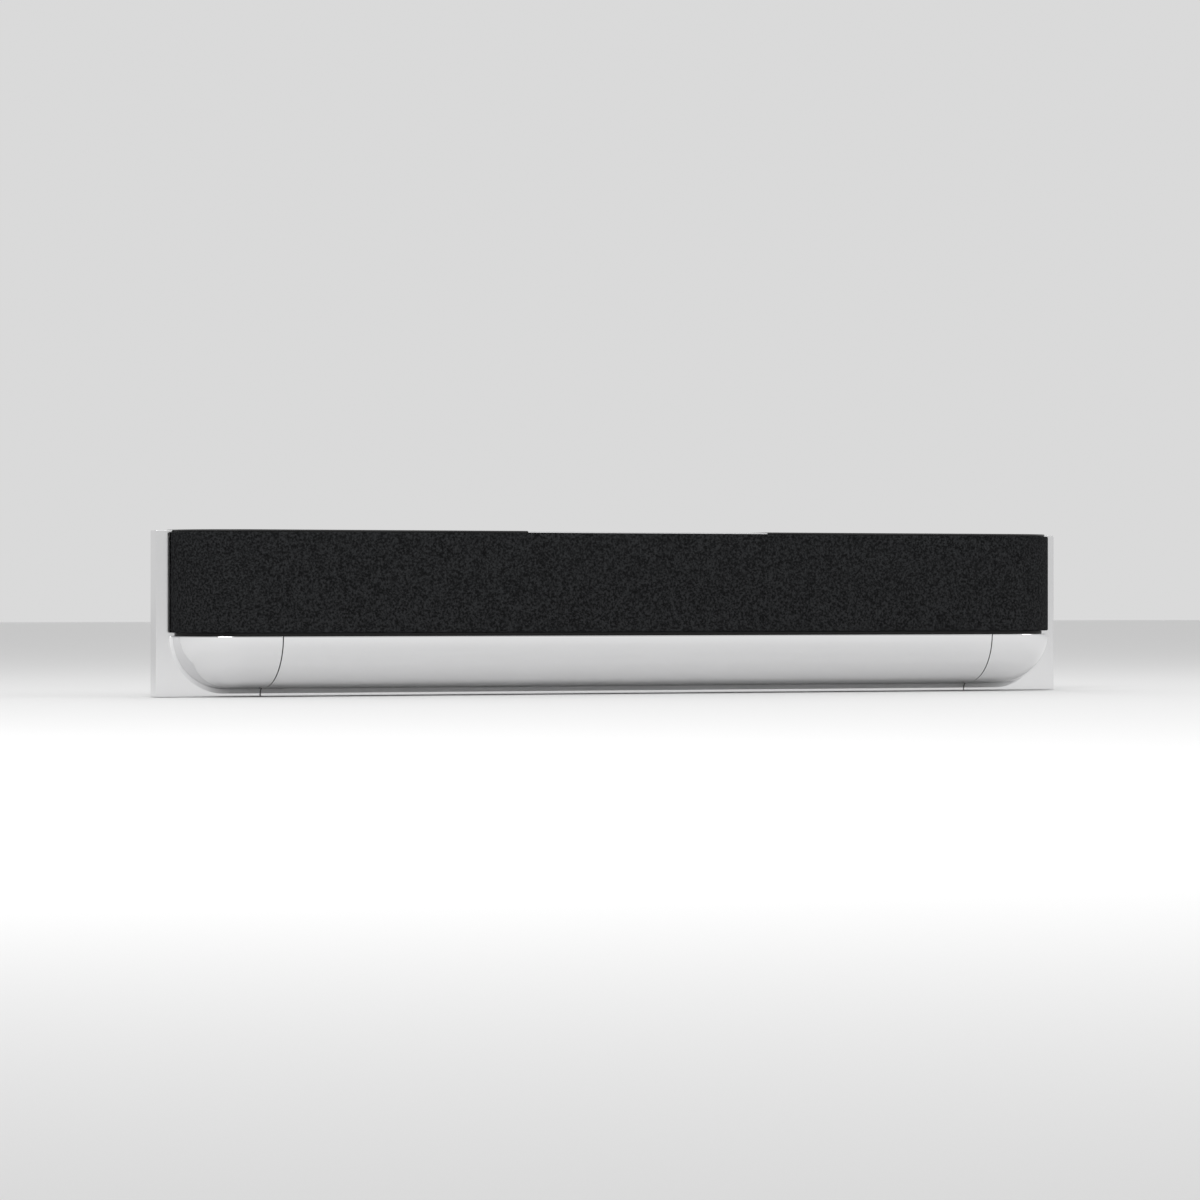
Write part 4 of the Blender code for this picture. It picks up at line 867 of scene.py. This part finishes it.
for x in (-HOUSING_HALF + SCREW_INSET, -INNER_SCREW_X, INNER_SCREW_X, HOUSING_HALF - SCREW_INSET):
    for z in (HOUSING_LOW + SCREW_INSET, HOUSING_TOP - SCREW_INSET):
        heads.append(screw("head", Matrix.Translation((x, HOUSING_BACK, z)) @ BACKWARD, HOUSING_SCREW))
dress(joined("housing_screws", heads), screw_steel, "housing_plastic", "chassis")
shield = softened("connector_panel", "connector_plate", 0.0004, 2, 50)
dress(shield, grille_black, "socket_metal", "chassis", "connector_panel")

zinc = finish("zinc_plate", (0.60, 0.61, 0.62), 0.34, 1.0, grain=260, rough=0.09, bump=0.00001,
              cloudy=0.10)
for side_name in ("left", "right"):
    hanging = softened(side_name + "_hanging_plate", side_name + "_keyhole_plate", 0.0004, 2, 50)
    dress(hanging, zinc, "plate_steel", "chassis", side_name + "_hanging_plate")
foot_rubber = finish("foot_rubber", (0.012, 0.012, 0.012), 0.8, grain=1000, rough=0.08, bump=0.00004)
for side_name in ("left", "right"):
    foot = softened(side_name + "_rear_foot", side_name + "_rubber_foot", 0.0008, 2, 50)
    dress(foot, foot_rubber, "foot_rubber", "chassis", side_name + "_rear_foot")

socket_black = finish("socket_black", (0.02, 0.02, 0.021), 0.4, grain=1100, rough=0.06, bump=0.00002)
for node in ("mains_inlet", "video_socket_block", "network_socket_block"):
    dress(softened(node, node + "_shell", 0.0003, 2, 50), socket_black, "socket_metal", "chassis", node)
button_grey = finish("button_grey", (0.25, 0.25, 0.26), 0.45, grain=900, rough=0.06, bump=0.00002)
dress(softened("setup_button", "setup_button_cap", 0.0005, 3, 50), button_grey, "button_plastic",
      "setup_button", "setup_button")


# ---------------------------------------------------------------- boards and what stands on them
# Glass-fibre boards with solder mask, a mains transformer with a laminated core and a finned
# aluminium heat sink. They are inside the housing and keep their solids.

board_green = finish("board_green", (0.015, 0.075, 0.045), 0.35, grain=300, rough=0.08, cloudy=0.25)
core_steel = finish("core_steel", (0.20, 0.20, 0.21), 0.45, 1.0, grain=1500, rough=0.1, bump=0.00008)
sink_aluminium = finish("sink_aluminium", (0.70, 0.70, 0.71), 0.4, 1.0, grain=900, rough=0.08)
antenna_film = finish("antenna_film", (0.030, 0.030, 0.032), 0.42, grain=600, rough=0.07)
INSIDE = {"power_supply_board": board_green, "amplifier_board": board_green,
          "main_board": board_green, "touch_board": board_green,
          "remote_receiver_board": board_green, "left_antenna": antenna_film,
          "right_antenna": antenna_film, "mains_transformer": core_steel, "heat_sink": sink_aluminium}
for node, material in INSIDE.items():
    for holder in nodes[node].material_slots:
        holder.material = material
